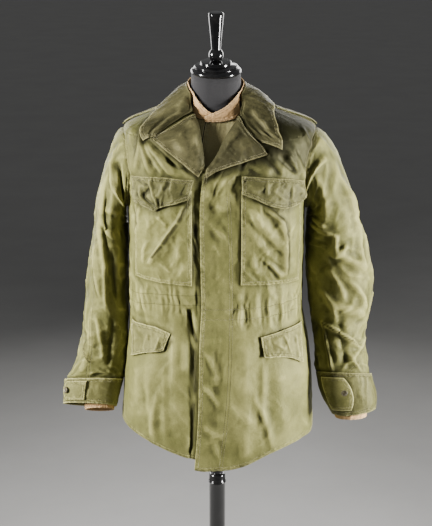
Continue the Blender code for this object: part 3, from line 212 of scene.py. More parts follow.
# Largest folds of the sleeves: each runs from one place to another, given by its share of the way
# down and its degrees round the sleeve (0 inner, 90 front, 180 outer, 270 back).
# Columns: down0, round0, down1, round1, width, height.
SLEEVE_RIGHT_FOLDS = in_metres((
    (0.1, 150, 0.42, 95, 13, 6), (0.12, 120, 0.5, 70, 12, -6), (0.32, 140, 0.46, 105, 10, 4.5),
    (0.55, 130, 0.95, 118, 14, 5), (0.3, 250, 0.55, 200, 16, 6), (0.6, 290, 0.9, 270, 16, 5),
), 4)
SLEEVE_LEFT_FOLDS = in_metres((
    (0.1, 100, 0.34, 55, 13, 6.5), (0.16, 140, 0.46, 160, 14, 5.5), (0.4, 70, 0.5, 140, 12, 6),
    (0.64, 60, 0.72, 150, 12, 6), (0.7, 85, 0.95, 100, 10, -6), (0.4, 300, 0.52, 220, 16, 6.5),
    (0.62, 290, 0.8, 230, 16, 5.5),
), 4)

# The dress form inside: how far it lies in from the jacket's outer face at each level.
FORM_EASE = (
    (0, 0.022), (3, 0.016), (5, 0.018), (6, 0.015), (6.6, 0.008), (7, 0.0042), (7.6, 0.003), (8.6, 0.003),
    (9, 0.0085),
)
FRONT_EASE = 0.015        # more than that behind the opening, where the fronts fall clear

# Narrower creases pressed into the cloth: by x and z of their ends on the fronts and the back, by
# share down and degrees round on the sleeves, and along and across on collar and lapels.
# A crease bows sideways, and falls away over width on one side and over steep on the other.
# Columns: x0, z0, x1, z1, bow, width, steep, height.
RIGHT_CREASES = in_metres((
    (-147, 1284, -72, 1211, -3, 8, 4, 5), (-153, 1274, -98, 1204, 3, 9, 4, 5),
    (-159, 1274, -122, 1207, 2, 7, 4, 4), (-171, 1282, -149, 1209, 2, 7, 5, 4),
    (-173, 1303, -185, 1212, -3, 6, 4, 3.5), (-197, 1300, -194, 1203, 2, 8, 6, 2.5),
    (-111, 1237, -60, 1210, 0, 6, 4, -4), (-45, 1191, -58, 1120, -4, 6, 4, -4),
    (-51, 1118, -45, 1014, 2, 6, 3, -6), (-67, 909, -77, 878, 0, 8, 6, 1.8),
    (-72, 896, -42, 805, 4, 10, 3, -8), (-53, 800, -53, 683, 0, 6, 4, -8), (-55, 676, -62, 537, 0, 6, 4, -8),
    (-67, 546, -53, 579, 0, 5, 3, -5), (-100, 832, -102, 708, 0, 10.8, 9, 3),
    (-80, 819, -79, 744, -2, 9.5, 7.5, 2.6), (-133, 702, -155, 566, 4, 8.1, 6, 2.3),
    (-164, 758, -143, 560, 4, 10.8, 7.5, 2.3), (-121, 751, -121, 583, 3, 9.5, 7.5, 2.3),
    (-184, 727, -177, 609, 3, 10.8, 9, 2.1), (-192, 1119, -185, 1066, 0, 5, 4, -3.5),
    (-172, 920, -162, 851, 0, 5, 4, 0.9), (-144, 933, -137, 867, 0, 5, 4, 0.9),
    (-120, 934, -126, 872, 0, 5, 4, 0.9), (-95, 934, -86, 860, 0, 5, 4, 1.1),
    (-185, 896, -183, 836, 0, 5, 4, 0.9),
))
LEFT_CREASES = in_metres((
    (53, 1213, -12, 1186, -4, 12, 8, 2.6), (-12, 1190, -34, 1142, 3, 11, 8, 2.6),
    (-29, 1173, 24, 1120, 3, 12, 8, 2.2), (-15, 1108, 15, 1061, 3, 11, 8, 2),
    (17, 1199, 51, 1124, 2, 10, 8, 1.8), (114, 1254, 149, 1209, 2, 8, 4, 4.5),
    (154, 1254, 185, 1202, -2, 7, 4, 5), (166, 1268, 197, 1187, -3, 6, 3, 5),
    (70, 1230, 99, 1213, 0, 6, 4, 3), (141, 1245, 181, 1206, 2, 6, 4, -4),
    (192, 1305, 211, 1259, 0, 5, 3, 3.5), (-29, 792, 2, 723, -3, 10.8, 4.5, 3),
    (-33, 710, 6, 658, -3, 9.5, 4.5, 3), (-34, 614, 16, 585, 3, 10.8, 6, 2.6),
    (-13, 599, 2, 541, 0, 8.1, 6, 2.1), (-5, 737, -3, 709, 0, 12.1, 9, 3),
    (33, 673, 84, 621, 4, 12.1, 7.5, 2.3), (81, 688, 128, 557, -6, 10, 6, 3),
    (62, 823, 61, 677, 0, 12, 12, 2.8), (61, 677, 67, 523, 0, 12, 12, 2.8),
    (106, 764, 106, 615, 0, 10, 8, 2.5), (50, 934, 54, 847, 0, 7, 6, 0.9), (72, 947, 77, 836, 0, 7, 6, 1),
    (91, 940, 84, 866, 0, 5, 4, 1), (115, 946, 140, 902, 0, 5, 4, 1.1), (151, 933, 156, 867, 0, 7, 4, 1),
    (175, 933, 163, 867, 0, 7, 4, 1.1),
))
BACK_CREASES = in_metres((
    (-180, 1250, -110, 1180, 4, 9, 5, 4.5), (-190, 1215, -130, 1120, 4, 10, 5, 4.5),
    (180, 1250, 110, 1180, -4, 9, 5, 4.5), (190, 1215, 130, 1120, -4, 10, 5, 4.5),
    (-60, 1160, 20, 1120, 3, 10, 6, 3), (60, 1060, -30, 1020, 3, 10, 6, 3),
    (-150, 1040, -80, 980, 3, 9, 5, 3.5), (150, 1040, 80, 980, -3, 9, 5, 3.5),
    (-90, 840, -105, 700, 4, 12.1, 7.5, 2.6), (0, 830, 6, 690, 4, 12.1, 7.5, 2.6),
    (85, 840, 100, 700, 4, 12.1, 7.5, 2.6), (-160, 760, -175, 620, 4, 10, 6, 3.5),
    (160, 760, 175, 620, 4, 10, 6, 3.5),
))
POCKET_CREASES = {
    "right": in_metres((
        (-52, 1178, -89, 1105, 0, 10, 2.2, 6), (-89, 1105, -127, 1049, 0, 12, 2.2, 6.5),
        (-127, 1049, -155, 996, 0, 10, 3, 5.5), (-159, 1049, -164, 996, 3, 7, 4, 3.5),
        (-173, 1132, -179, 1089, 0, 5, 3, 3.5), (-134, 1111, -112, 1089, 0, 7, 4, 2.5),
        (-81, 1078, -90, 1008, 0, 9, 6, 2.5), (-68, 1121, -75, 1014, 0, 10, 8, -1.2),
        (-131, 1002, -99, 978, 0, 7, 5, 2.2),
    )),
    "left": in_metres((
        (65, 1155, 100, 1078, 2, 12, 7, 3.2), (80, 1124, 149, 1026, 4, 12, 7, 3.4),
        (68, 1084, 130, 1008, 3, 12, 7, 2.6), (110, 1135, 144, 1100, 0, 3, 8, 5.5),
        (144, 1105, 151, 1055, 0, 3, 12, 6.5), (151, 1061, 154, 972, 0, 3, 12, 6),
        (73, 1032, 92, 972, 0, 8, 5, 2.2), (117, 1002, 148, 965, 0, 7, 5, 2.5),
        (103, 1014, 144, 959, -3, 6, 4, 2.8),
    )),
}
FLAP_CREASES = {
    "chest_flap_right": in_metres((
        (-176, 1191, -145, 1178, 0, 4, 3, -5), (-145, 1178, -162, 1154, 0, 4, 3, -5),
        (-162, 1154, -139, 1136, 0, 4, 3, -4.5), (-146, 1199, -143, 1168, 2, 4, 3, 4.5),
        (-143, 1168, -130, 1135, 0, 4, 3, 4), (-169, 1180, -162, 1149, 2, 4, 3, 4.5),
        (-186, 1165, -175, 1141, 0, 4, 3, 3.5), (-100, 1200, -103, 1171, 0, 6, 2, 3.5),
        (-61, 1197, -81, 1161, 0, 12, 6, -4), (-115, 1192, -130, 1153, 0, 6, 4, 2.2),
    )),
    "chest_flap_left": in_metres((
        (109, 1200, 107, 1162, 0, 5, 1.8, 2.8), (164, 1184, 161, 1149, 0, 5, 1.8, 2.5),
        (73, 1188, 86, 1166, 0, 7, 4, 1.8), (123, 1177, 151, 1140, 0, 7, 5, 2),
        (181, 1175, 193, 1146, 0, 6, 4, 2.2),
    )),
    "lower_flap_right": in_metres((
        (-132, 822, -140, 789, 0, 5, 3, 2.5), (-158, 829, -166, 787, 0, 6, 3, 2.2),
        (-186, 831, -185, 778, 0, 5, 3, 2),
    )),
    "lower_flap_left": in_metres((
        (124, 815, 156, 788, 0, 6, 4, 2.2), (151, 827, 165, 783, 0, 5, 3, 2.5),
        (177, 829, 185, 761, 0, 6, 3, 2.5),
    )),
}
# Columns: down0, round0, down1, round1, bow, width, steep, height.
SLEEVE_RIGHT_CREASES = in_metres((
    (0.11, 143, 0.15, 103, 0, 9, 3, 7), (0.15, 103, 0.14, 47, 0, 9, 3, 6), (0.1, 117, 0.11, 53, 0, 7, 5, -8),
    (0.25, 117, 0.31, 70, 2, 10, 4, 6), (0.22, 130, 0.2, 67, 2, 10, 5, 3.5),
    (0.36, 140, 0.53, 100, 3, 9, 6, 4), (0.38, 97, 0.57, 87, 2, 9, 6, 3.5),
    (0.35, 77, 0.54, 57, 2, 9, 6, -4), (0.54, 150, 0.68, 140, 3, 8, 6, 3),
    (0.61, 110, 0.82, 80, 2, 10, 6, 4), (0.61, 70, 0.85, 67, 2, 8, 6, -3.5),
    (0.73, 147, 0.83, 110, 0, 5, 2, 4.5), (0.2, 250, 0.36, 215, 3, 10, 5, 5),
    (0.42, 260, 0.5, 200, 3, 10, 5, 5.5), (0.56, 255, 0.62, 190, 3, 10, 5, 5),
    (0.72, 270, 0.9, 230, 3, 10, 6, 4),
), 4)
SLEEVE_LEFT_CREASES = in_metres((
    (0.11, 130, 0.07, 90, 0, 8, 4, 6), (0.07, 90, 0.02, 50, 0, 8, 4, 6), (0.28, 37, 0.31, 70, 2, 9, 4, 5.5),
    (0.31, 27, 0.35, 90, 3, 10, 4, 5.5), (0.35, 90, 0.44, 80, 0, 8, 4, 5.5),
    (0.44, 80, 0.39, 107, 0, 8, 4, 5), (0.18, 143, 0.35, 143, 4, 10, 5, 5.5),
    (0.35, 143, 0.49, 133, 0, 10, 5, 4.5), (0.73, 47, 0.84, 133, 4, 10, 3, 7),
    (0.74, 53, 0.98, 63, 3, 8, 2, 6), (0.8, 170, 0.97, 80, -4, 8, 5, 3.5),
    (0.49, 70, 0.63, 93, 4, 11, 5, 4.5), (0.54, 103, 0.68, 143, 4, 10, 5, 4),
    (0.58, 53, 0.72, 80, 3, 10, 5, 4), (0.87, 103, 0.97, 133, 0, 8, 5, 3.5),
    (0.22, 250, 0.38, 210, 3, 10, 5, 5), (0.44, 265, 0.5, 200, 3, 11, 5, 6),
    (0.58, 250, 0.63, 185, 3, 10, 5, 5), (0.74, 275, 0.92, 235, 3, 10, 6, 4),
), 4)
# Columns: along0, across0, along1, across1, bow, width, steep, height.
COLLAR_CREASES = in_metres((
    (539, 80, 594, 94, 2, 7, 4, 3), (513, 62, 559, 83, 2, 7, 4, 3), (545, 54, 591, 62, -2, 6, 4, -2.5),
    (98, 70, 20, 59, 2, 9.5, 6, 2.3), (133, 51, 63, 62, 2, 9.5, 6, 2.3), (75, 78, 14, 80, 0, 6, 4, -2),
    (240, 60, 290, 90, 2, 8, 5, 2.5), (380, 60, 330, 90, 2, 8, 5, 2.5),
))
LAPEL_RIGHT_CREASES = in_metres((
    (62, 157, 64, 73, 4, 10, 5, 3.5), (95, 115, 91, 72, 2, 10.8, 6, 2.3), (81, 131, 89, 57, 2, 10.8, 6, 1.9),
))
LAPEL_LEFT_CREASES = in_metres((
    (60, 165, 58, 100, 3, 10.8, 6, 2.3), (95, 159, 87, 82, 2, 10.8, 6, 2.1), (73, 143, 70, 79, 2, 7, 4, -2),
))

# ---------------- smooth reading of the tables

def smooth_curve(places, values):
    """A curve through the values at the given places that never overshoots them, for arrays too."""
    places = np.array(places, float)
    values = np.array(values, float)
    steps = np.diff(places)
    slopes = np.diff(values) / steps
    before, after = slopes[:-1], slopes[1:]
    same = before * after > 0.0
    weight_before = 2.0 * steps[1:] + steps[:-1]
    weight_after = steps[1:] + 2.0 * steps[:-1]
    tangents = np.zeros(len(places))
    tangents[0] = slopes[0]
    tangents[-1] = slopes[-1]
    tangents[1:-1] = np.where(same, (weight_before + weight_after)
                              / (weight_before / np.where(same, before, 1.0)
                                 + weight_after / np.where(same, after, 1.0)), 0.0)

    def at(place):
        place = np.asarray(place, float)
        index = np.clip(np.searchsorted(places, place) - 1, 0, len(steps) - 1)
        step = steps[index]
        t = (place - places[index]) / step
        return ((1 + 2 * t) * (1 - t) ** 2 * values[index] + t * (1 - t) ** 2 * step * tangents[index]
                + t * t * (3 - 2 * t) * values[index + 1] + t * t * (t - 1) * step * tangents[index + 1])

    return at


def table_curves(rows, places=None):
    """A curve for each column, over the first column or over the places given instead."""
    columns = list(zip(*rows))
    if places is None:
        places = columns[0]
        columns = columns[1:]
    return [smooth_curve(places, column) for column in columns]


def even_curves(rows):
    """A curve for each column, with the rows at even steps from 0 to 1."""
    return table_curves(rows, evenly(len(rows)))


def smooth_step(low, high, value):
    t = np.clip((value - low) / (high - low), 0.0, 1.0)
    return t * t * (3.0 - 2.0 * t)


def blend(a, b, t):
    return a + (b - a) * t


def unit(vectors):
    return vectors / np.maximum(np.linalg.norm(vectors, axis=-1, keepdims=True), 1e-9)


def evenly(count):
    return np.linspace(0.0, 1.0, count)


def grid(across, up):
    """Shares from 0 to 1 across a piece and up it, as a column and a row."""
    return evenly(across)[:, None], evenly(up)[None, :]


def spread(values):
    """Room for x, y and z behind an array of numbers."""
    return np.asarray(values)[..., None]


def turn_down(values):
    """The same angles from -180 to 180 degrees."""
    return (np.asarray(values) + 180.0) % 360.0 - 180.0


# ---------------- the body's surface

BODY_CURVES = table_curves(BODY)
LEFT_EDGE_CURVE = table_curves(LEFT_EDGE)[0]
RIGHT_EDGE_CURVE = table_curves(RIGHT_EDGE)[0]
FORM_EASE_CURVE = table_curves(FORM_EASE)[0]
HEM_DROP_CURVE = table_curves(HEM_DROPS)[0]


def body_point(angle, level):
    """Where the plain outer face is, before any fold."""
    angle = np.asarray(angle, float)
    level = np.asarray(level, float)
    z_front, z_side, z_back, half_width, front, back, squareness, centre_x = (
        curve(level) for curve in BODY_CURVES)
    sine = np.sin(np.radians(angle))
    cosine = np.cos(np.radians(angle))
    depth = np.where(cosine >= 0.0, front, back)
    z_end = np.where(cosine >= 0.0, z_front, z_back)
    reach = np.abs(sine / half_width) ** squareness + np.abs(cosine / depth) ** squareness
    radius = reach ** (-1 / squareness)
    x = centre_x + radius * sine
    tilt = HEM_TILT * x * smooth_step(HEM_TILT_TOP, 0.0, level)
    drop = HEM_DROP_CURVE(turn_down(angle)) * smooth_step(HEM_DROP_TOP, 0.0, level)
    return np.stack([x, -radius * cosine, z_side + (z_end - z_side) * cosine ** 2 + tilt - drop], axis=-1)


NORMAL_REACH = 0.05       # levels to each side over which the slope is taken


def body_normal(angle, level):
    low = np.maximum(np.asarray(level) - NORMAL_REACH, 0.0)
    high = np.minimum(np.asarray(level) + NORMAL_REACH, NECKLINE)
    round_way = body_point(np.asarray(angle) + 1.0, level) - body_point(np.asarray(angle) - 1.0, level)
    return unit(np.cross(round_way, body_point(angle, high) - body_point(angle, low)))


def form_ease(angle, level):
    """How far the dress form lies in from the jacket's outer face."""
    opening = (smooth_step(75.0, 40.0, np.abs(angle)) * smooth_step(5.8, 7.0, level)
               * smooth_step(9.0, 8.5, level))
    return FORM_EASE_CURVE(level) + FRONT_EASE * opening


FIRST_RADIUS = 0.24       # body_place() starts from a round body at the chest
FIRST_LEVEL = 4.0
PLACE_ROUNDS = 14
ANGLE_STEP = 0.5
LEVEL_STEP = 0.02
FURTHEST_STEP = (12.0, 0.8)


def body_place(x, z):
    """The angle and level of the front's points at the given x and z."""
    angle = np.degrees(np.arcsin(np.clip(x / FIRST_RADIUS, -1.0, 1.0)))
    level = np.full_like(angle, FIRST_LEVEL)
    turn_limit, rise_limit = FURTHEST_STEP
    for _ in range(PLACE_ROUNDS):
        here = body_point(angle, level)
        by_angle = (body_point(angle + ANGLE_STEP, level) - here) / ANGLE_STEP
        by_level = (body_point(angle, np.minimum(level + LEVEL_STEP, NECKLINE)) - here) / LEVEL_STEP
        miss_x = x - here[..., 0]
        miss_z = z - here[..., 2]
        across = by_angle[..., 0] * by_level[..., 2] - by_angle[..., 2] * by_level[..., 0]
        turn = (miss_x * by_level[..., 2] - miss_z * by_level[..., 0]) / across
        climb = (by_angle[..., 0] * miss_z - by_angle[..., 2] * miss_x) / across
        angle = angle + np.clip(turn, -turn_limit, turn_limit)
        level = np.clip(level + np.clip(climb, -rise_limit, rise_limit), 0.0, NECKLINE - LEVEL_STEP)
    return angle, level


def armhole_half_angle(level, widest):
    """How far an armhole cuts into its panel at a level, in degrees."""
    share = np.clip((level - UNDERARM) / (SHOULDER_TIP - UNDERARM), 0.0, 1.0)
    return widest * (2.0 * np.sqrt(share * (1.0 - share))) ** ARMHOLE_ROUNDNESS


# ---------------- folds and rumples

def beside_line(x, z, x0, z0, x1, z1):
    """How far along a line a point lies, as a share of it, and how far beside it."""
    run_x, run_z = x1 - x0, z1 - z0
    length = math.hypot(run_x, run_z)
    return (((x - x0) * run_x + (z - z0) * run_z) / length ** 2,
            ((x - x0) * run_z - (z - z0) * run_x) / length)


def fold_height(folds, x, z, bowed=False):
    """Soft ridges and troughs. A bowed fold curves sideways and is steeper on one side."""
    height = np.zeros(np.broadcast(x, z).shape)
    for row in folds:
        x0, z0, x1, z1 = row[:4]
        bow, width, steep, lift = row[4:] if bowed else (0.0, row[4], row[4], row[5])
        along, across = beside_line(x, z, x0, z0, x1, z1)
        across = across - bow * 4.0 * along * (1.0 - along)
        fade = smooth_step(-0.15, 0.25, along) * smooth_step(1.15, 0.75, along)
        height = height + lift * fade * np.exp(-(across / np.where(across < 0.0, width, steep)) ** 2)
    return height


NOISE_STEPS = (127.1, 311.7, 74.7)
NOISE_STIR = 43758.5453


def value_noise(x, y, seed):
    """Smooth noise from 0 to 1 with cells one unit wide, the same on every run."""
    column, row = np.floor(x), np.floor(y)
    fx, fy = x - column, y - row
    fx = fx * fx * (3.0 - 2.0 * fx)
    fy = fy * fy * (3.0 - 2.0 * fy)

    def corner(i, j):
        by_column, by_row, by_seed = NOISE_STEPS
        raw = np.sin((column + i) * by_column + (row + j) * by_row + seed * by_seed) * NOISE_STIR
        return raw - np.floor(raw)

    return blend(blend(corner(0, 0), corner(1, 0), fx), blend(corner(0, 1), corner(1, 1), fx), fy)


def rumple(x, y, seed, soft, sharp, size, stretch):
    """Worn cloth's unevenness: broad soft waves, and narrow ridges that run through them."""
    x = x / size
    y = y / (size * stretch)
    warp_x = x + 0.9 * value_noise(x * 0.8, y * 0.8, seed + 1)
    warp_y = y + 0.9 * value_noise(x * 0.8 + 7.0, y * 0.8, seed + 2)
    broad = value_noise(warp_x, warp_y, seed + 3) - 0.5
    ridge = 1.0 - np.abs(2.0 * value_noise(warp_x * 1.7, warp_y * 1.7, seed + 4) - 1.0)
    fine = 1.0 - np.abs(2.0 * value_noise(warp_x * 3.9, warp_y * 3.9, seed + 5) - 1.0)
    return soft * broad + sharp * (ridge ** 3 - 0.35) + 0.4 * sharp * (fine ** 2 - 0.4)


def drapery(x, y, seed, headings, size, depth):
    """Creases longer than they are wide, lying another way in each part of a piece."""
    height = 0.0
    whole = 0.0
    for index, heading in enumerate(headings):
        turn = math.radians(heading)
        across = (x * math.cos(turn) + y * math.sin(turn)) / size
        along = (y * math.cos(turn) - x * math.sin(turn)) / (size * 4.5)
        across = across + 1.1 * value_noise(along * 1.3, across * 0.4, seed + index)
        wave = value_noise(across, along, seed + 10 + index)
        crest = 1.0 - np.abs(2.0 * value_noise(across * 0.8 + 3.0, along, seed + 20 + index) - 1.0)
        share = smooth_step(0.3, 0.62, value_noise(x / 0.075, y / 0.075, seed + 30 + index))
        height = height + share * (0.6 * (wave - 0.5) + 0.7 * (crest ** 2 - 0.35))
        whole = whole + share
    return depth * height / np.maximum(whole, 0.6)


# How the cloth of each kind of piece is crumpled. Rumples have the height of their soft waves and of
# their sharp ridges, their size and their stretch. Then drapery, in one or two sizes, has its own step
# of the seed, its headings in degrees, its size and its depth.
CRUMPLES = {
    "panel": ((0.0065, 0.0012, 0.075, 1.7),
              (40, (0.0, 38.0, -38.0), 0.015, 0.0038), (80, (12.0, -55.0), 0.0075, 0.0009)),
    "sleeve": ((0.008, 0.002, 0.062, 0.9),
               (40, (-20.0, 30.0, 62.0), 0.017, 0.0046), (80, (10.0, -50.0), 0.0075, 0.0009)),
    "cuff": ((0.0024, 0.0008, 0.034, 0.9), (5, (5.0, 60.0), 0.0085, 0.0022)),
    "collar": ((0.0034, 0.001, 0.044, 1.0), (3, (60.0, -60.0, 10.0), 0.01, 0.0028)),
    "lapel": ((0.0034, 0.001, 0.04, 1.0), (3, (30.0, -40.0, 75.0), 0.01, 0.0028)),
    "chest_pocket": ((0.004, 0.0012, 0.048, 1.3), (3, (0.0, 35.0, -35.0), 0.013, 0.003)),
    "flap": ((0.003, 0.001, 0.036, 1.2), (3, (5.0, 45.0, -30.0), 0.0085, 0.0036)),
    "shoulder_strap": ((0.001, 0.0008, 0.024, 1.0),),
    "liner_collar": ((0.001, 0.0007, 0.022, 1.0),),
}
CREASE_DEPTH = 1.4        # how much deeper the creases are pressed than their tables say


def crumpled(kind, x, y, seed):
    """A kind of cloth's rumples and drapery, at places laid out flat in metres."""
    waves, *draperies = CRUMPLES[kind]
    height = rumple(x, y, seed, *waves)
    for step, *drape in draperies:
        height = height + drapery(x, y, seed + step, *drape)
    return height


def creased(creases, x, y):
    return CREASE_DEPTH * fold_height(creases, x, y, bowed=True)


def gather_height(u, waves, level, seed):
    """The waist's gathers, uneven in width and depth."""
    reach = np.exp(-((level - GATHER_LEVEL) / GATHER_REACH) ** 2)
    ends = smooth_step(0.04, 0.16, u) * smooth_step(1.0, 0.93, u)
    drift = 0.5 * (value_noise(u * waves * 0.5, level * 1.3, seed) - 0.5)
    depth = 0.5 + 0.8 * value_noise(u * waves * 0.7, level * 1.6, seed + 9)
    return GATHER_HEIGHT * np.cos(2.0 * np.pi * (waves * u + drift)) * reach * ends * depth


def evened(values, times):
    """The same grid of numbers with each one drawn towards its neighbours, as often as asked."""
    for _ in range(times):
        padded = np.pad(values, 1, mode="edge")
        values = (2.0 * values + padded[:-2, 1:-1] + padded[2:, 1:-1] + padded[1:-1, :-2]
                  + padded[1:-1, 2:]) / 6.0
    return values


def even_rows(points, count):
    """The same surface with count rows, by a smooth curve through each column's points."""
    rows = points.shape[1]
    spot = np.linspace(0.0, rows - 1.0, count)
    low = np.minimum(spot.astype(int), rows - 2)
    t = spread(spot - low)
    before = 2 * points[:, :1] - points[:, 1:2]
    beyond = 2 * points[:, -1:] - points[:, -2:-1]
    padded = np.concatenate([before, points, beyond], 1)
    a, b, c, d = (padded[:, low + k] for k in range(4))
    return 0.5 * (2 * b + (c - a) * t + (2 * a - 5 * b + 4 * c - d) * t ** 2
                  + (3 * b - a - 3 * c + d) * t ** 3)


# ---------------- pieces of cloth

def steps_along(points, axis):
    """Metres from the grid's start along its lines in one direction."""
    gaps = np.linalg.norm(np.diff(points, axis=axis), axis=-1)
    start = np.zeros_like(np.take(gaps, [0], axis=axis))
    return np.concatenate([start, np.cumsum(gaps, axis=axis)], axis=axis)


SAME_PLACE = 1e-6         # points nearer to each other than this are one
FOLD_PAINT_HEIGHT = 0.003       # a fold this high is painted to the full: paler on its ridge, darker in its trough
BEND_HEIGHT = 0.0006      # and so is one that stands this far over its near surroundings
BEND_ROUNDS = 12


class Cloth:
    """A grid of a piece's outer points, with what its making and its sewing need to know."""

    def __init__(self, name, points, edges="tblr", wrap=False, centre=None):
        self.name = name
        self.points = points
        self.wrap = wrap
        self.outward = 1.0
        if centre is not None:
            self.outward = float(np.sign(np.sum(self.ways() * (points - centre))))
        self.across = steps_along(points, 0)
        self.up = steps_along(points, 1)
        self.rows = {"l": self.across, "r": self.across[-1:] - self.across,
                     "b": self.up, "t": self.up[:, -1:] - self.up}
        self.from_edge = np.full(points.shape[:2], FAR)
        for side in edges:
            self.from_edge = np.minimum(self.from_edge, self.rows[side])
        self.height, self.dark, self.tone = (np.zeros(points.shape[:2]) for _ in range(3))
        self.seam_across, self.seam_along = (np.full(points.shape[:2], FAR) for _ in range(2))

    def ways(self):
        """The outward direction at each point."""
        if self.wrap:
            once = self.points[:-1]
            across = np.roll(once, -1, 0) - np.roll(once, 1, 0)
            across = np.concatenate([across, across[:1]])
        else:
            across = np.gradient(self.points, axis=0)
        return self.outward * unit(np.cross(across, np.gradient(self.points, axis=1)))

    def raise_by(self, height):
        """Moves the cloth out by height; the height is kept to paint ridges paler, as wear and painted
        highlight, and troughs darker, as painted shade.
        """
        self.height = self.height + height
        self.points = self.points + self.ways() * spread(height)
        return self

    def edge(self, sides):
        """The points of the named edges, one after another."""
        ends = {"l": self.points[0], "r": self.points[-1], "b": self.points[:, 0], "t": self.points[:, -1]}
        return np.concatenate([ends[side] for side in sides])

    def darken_beside(self, outline, reach, strength):
        """Paints shadow on the cloth close to the outline of a piece that lies on it."""
        near = np.full(self.points.shape[:2], 1.0)
        for part in np.array_split(outline, max(1, len(outline) // 40)):
            gaps = self.points[:, :, None, :] - part[None, None]
            near = np.minimum(near, np.sqrt((gaps ** 2).sum(axis=-1).min(axis=2)))
        self.dark = np.maximum(self.dark, strength * smooth_step(reach, 0.15 * reach, near))

    def build(self, material, thickness):
        """The finished mesh: a grid moved to the piece's points, with its marks and its wall."""
        columns, rows = (n - 1 for n in self.points.shape[:2])
        bm = bmesh.new()
        bmesh.ops.create_grid(bm, x_segments=columns, y_segments=rows, size=0.5)
        uv = bm.loops.layers.uv.new("cloth_m")
        at = self.points.transpose(1, 0, 2).reshape(-1, 3).tolist()
        # The fold marks paint ridges paler, as wear and painted highlight, and troughs and hollows darker, as
        # painted shade; the dark mark is painted deep shade; the tone mark is painted shade, and painted
        # light where it is below 0.
        bend = self.height - evened(self.height, BEND_ROUNDS)
        marks = {"fade": self.height / FOLD_PAINT_HEIGHT, "bend": bend / BEND_HEIGHT, "from_edge": self.from_edge,
                 "dark": self.dark, "tone": self.tone, "seam_across": self.seam_across,
                 "seam_along": self.seam_along}
        layers = [(bm.verts.layers.float.new(mark), values.T.reshape(-1).tolist())
                  for mark, values in marks.items()]
        flat = np.stack([self.across, self.up], -1).transpose(1, 0, 2).reshape(-1, 2).tolist()
        for index, vert in enumerate(bm.verts):
            vert.co = at[index]
            for layer, values in layers:
                vert[layer] = values[index]
        bm.verts.index_update()
        for face in bm.faces:
            for loop in face.loops:
                loop[uv].uv = flat[loop.vert.index]
        if self.wrap:
            bmesh.ops.remove_doubles(bm, verts=bm.verts[:], dist=SAME_PLACE)
        if self.outward < 0.0:
            bmesh.ops.reverse_faces(bm, faces=bm.faces[:])
        piece = new_piece(self.name, bm, material)
        wall = piece.modifiers.new("wall", "SOLIDIFY")
        wall.thickness = thickness
        wall.offset = -1.0
        return piece


THREAD_TRIM = 0.003       # how far a row of stitches stops short of the cloth's edge
LONGEST_STEP = 0.03       # marked distances that differ more than this belong to no one seam


def line_inside(cloth, side, gap):
    """A line that keeps gap metres inside one edge of a piece, and the outward ways along it."""
    by_column = side in "lr"
    run = cloth.rows[side] if by_column else cloth.rows[side].T
    points, ways = cloth.points, cloth.ways()
    if not by_column:
        points, ways = points.transpose(1, 0, 2), ways.transpose(1, 0, 2)
    if side in "rt":
        run, points, ways = run[::-1], points[::-1], ways[::-1]
    after = np.maximum((run >= gap).argmax(axis=0), 1)
    place = np.arange(run.shape[1])
    before = after - 1
    share = spread((gap - run[before, place]) / (run[after, place] - run[before, place]))
    line = blend(points[before, place], points[after, place], share)
    along = steps_along(line, 0)
    inside = (along >= THREAD_TRIM) & (along <= along[-1] - THREAD_TRIM)
    return line[inside], ways[before, place][inside]


def line_where(cloth, values, level, by_column=True):
    """The line on a piece where its marked distances pass the given level."""
    points, ways = cloth.points, cloth.ways()
    if not by_column:
        values, points, ways = values.T, points.transpose(1, 0, 2), ways.transpose(1, 0, 2)
    passes = (values[:-1] - level) * (values[1:] - level) <= 0.0
    passes &= np.abs(values[1:] - values[:-1]) < LONGEST_STEP
    found = passes.any(axis=0)
    index = passes.argmax(axis=0)[found]
    place = np.arange(values.shape[1])[found]
    low, high = values[index, place], values[index + 1, place]
    share = spread((level - low) / np.where(high == low, 1.0, high - low))
    return blend(points[index, place], points[index + 1, place], share), ways[index, place]


STITCH_PITCH = 0.0031
STITCH_LENGTH = 0.0023
STITCH_HALF_WIDTH = 0.00032
STITCH_RISE = 0.00036
STITCH_SINK = 0.00012
STITCH_SIGHT = 0.001      # how far along the line its heading is taken
FEWEST_POINTS = 3         # a line of fewer points isn't sewn


def stitches(name, lines, material):
    """One mesh of short threads lying along each line: four corners and a raised back."""
    corners = []
    for line, ways in lines:
        if len(line) < FEWEST_POINTS:
            continue
        run = steps_along(line, 0)
        middle = np.arange(STITCH_PITCH * 0.5, run[-1] - STITCH_PITCH * 0.4, STITCH_PITCH)
        middle_points, before, beyond, out = (
            np.stack([np.interp(middle + shift, run, source[:, k]) for k in range(3)], -1)
            for shift, source in ((0.0, line), (-STITCH_SIGHT, line), (STITCH_SIGHT, line), (0.0, ways)))
        out = unit(out)
        along = unit(beyond - before) * STITCH_LENGTH * 0.5
        aside = unit(np.cross(out, along)) * STITCH_HALF_WIDTH
        sunk = middle_points - out * STITCH_SINK
        corners.append(np.stack([sunk - along, sunk + aside, sunk + along, sunk - aside,
                                 middle_points + out * STITCH_RISE - along * 0.35,
                                 middle_points + out * STITCH_RISE + along * 0.35], axis=1))
    if not corners:
        return None
    corners = np.concatenate(corners)
    faces = ((0, 4, 1), (1, 4, 5), (1, 5, 2), (2, 5, 3), (3, 5, 4), (3, 4, 0), (0, 1, 2), (0, 2, 3))
    mesh = bpy.data.meshes.new(name)
    every = (np.arange(len(corners))[:, None, None] * 6 + np.array(faces)[None]).reshape(-1, 3)
    mesh.from_pydata(corners.reshape(-1, 3).tolist(), [], every.tolist())
    return carried(name, mesh, material)


def put(name, data):
    """A new object in the scene."""
    thing = bpy.data.objects.new(name, data)
    bpy.context.collection.objects.link(thing)
    return thing


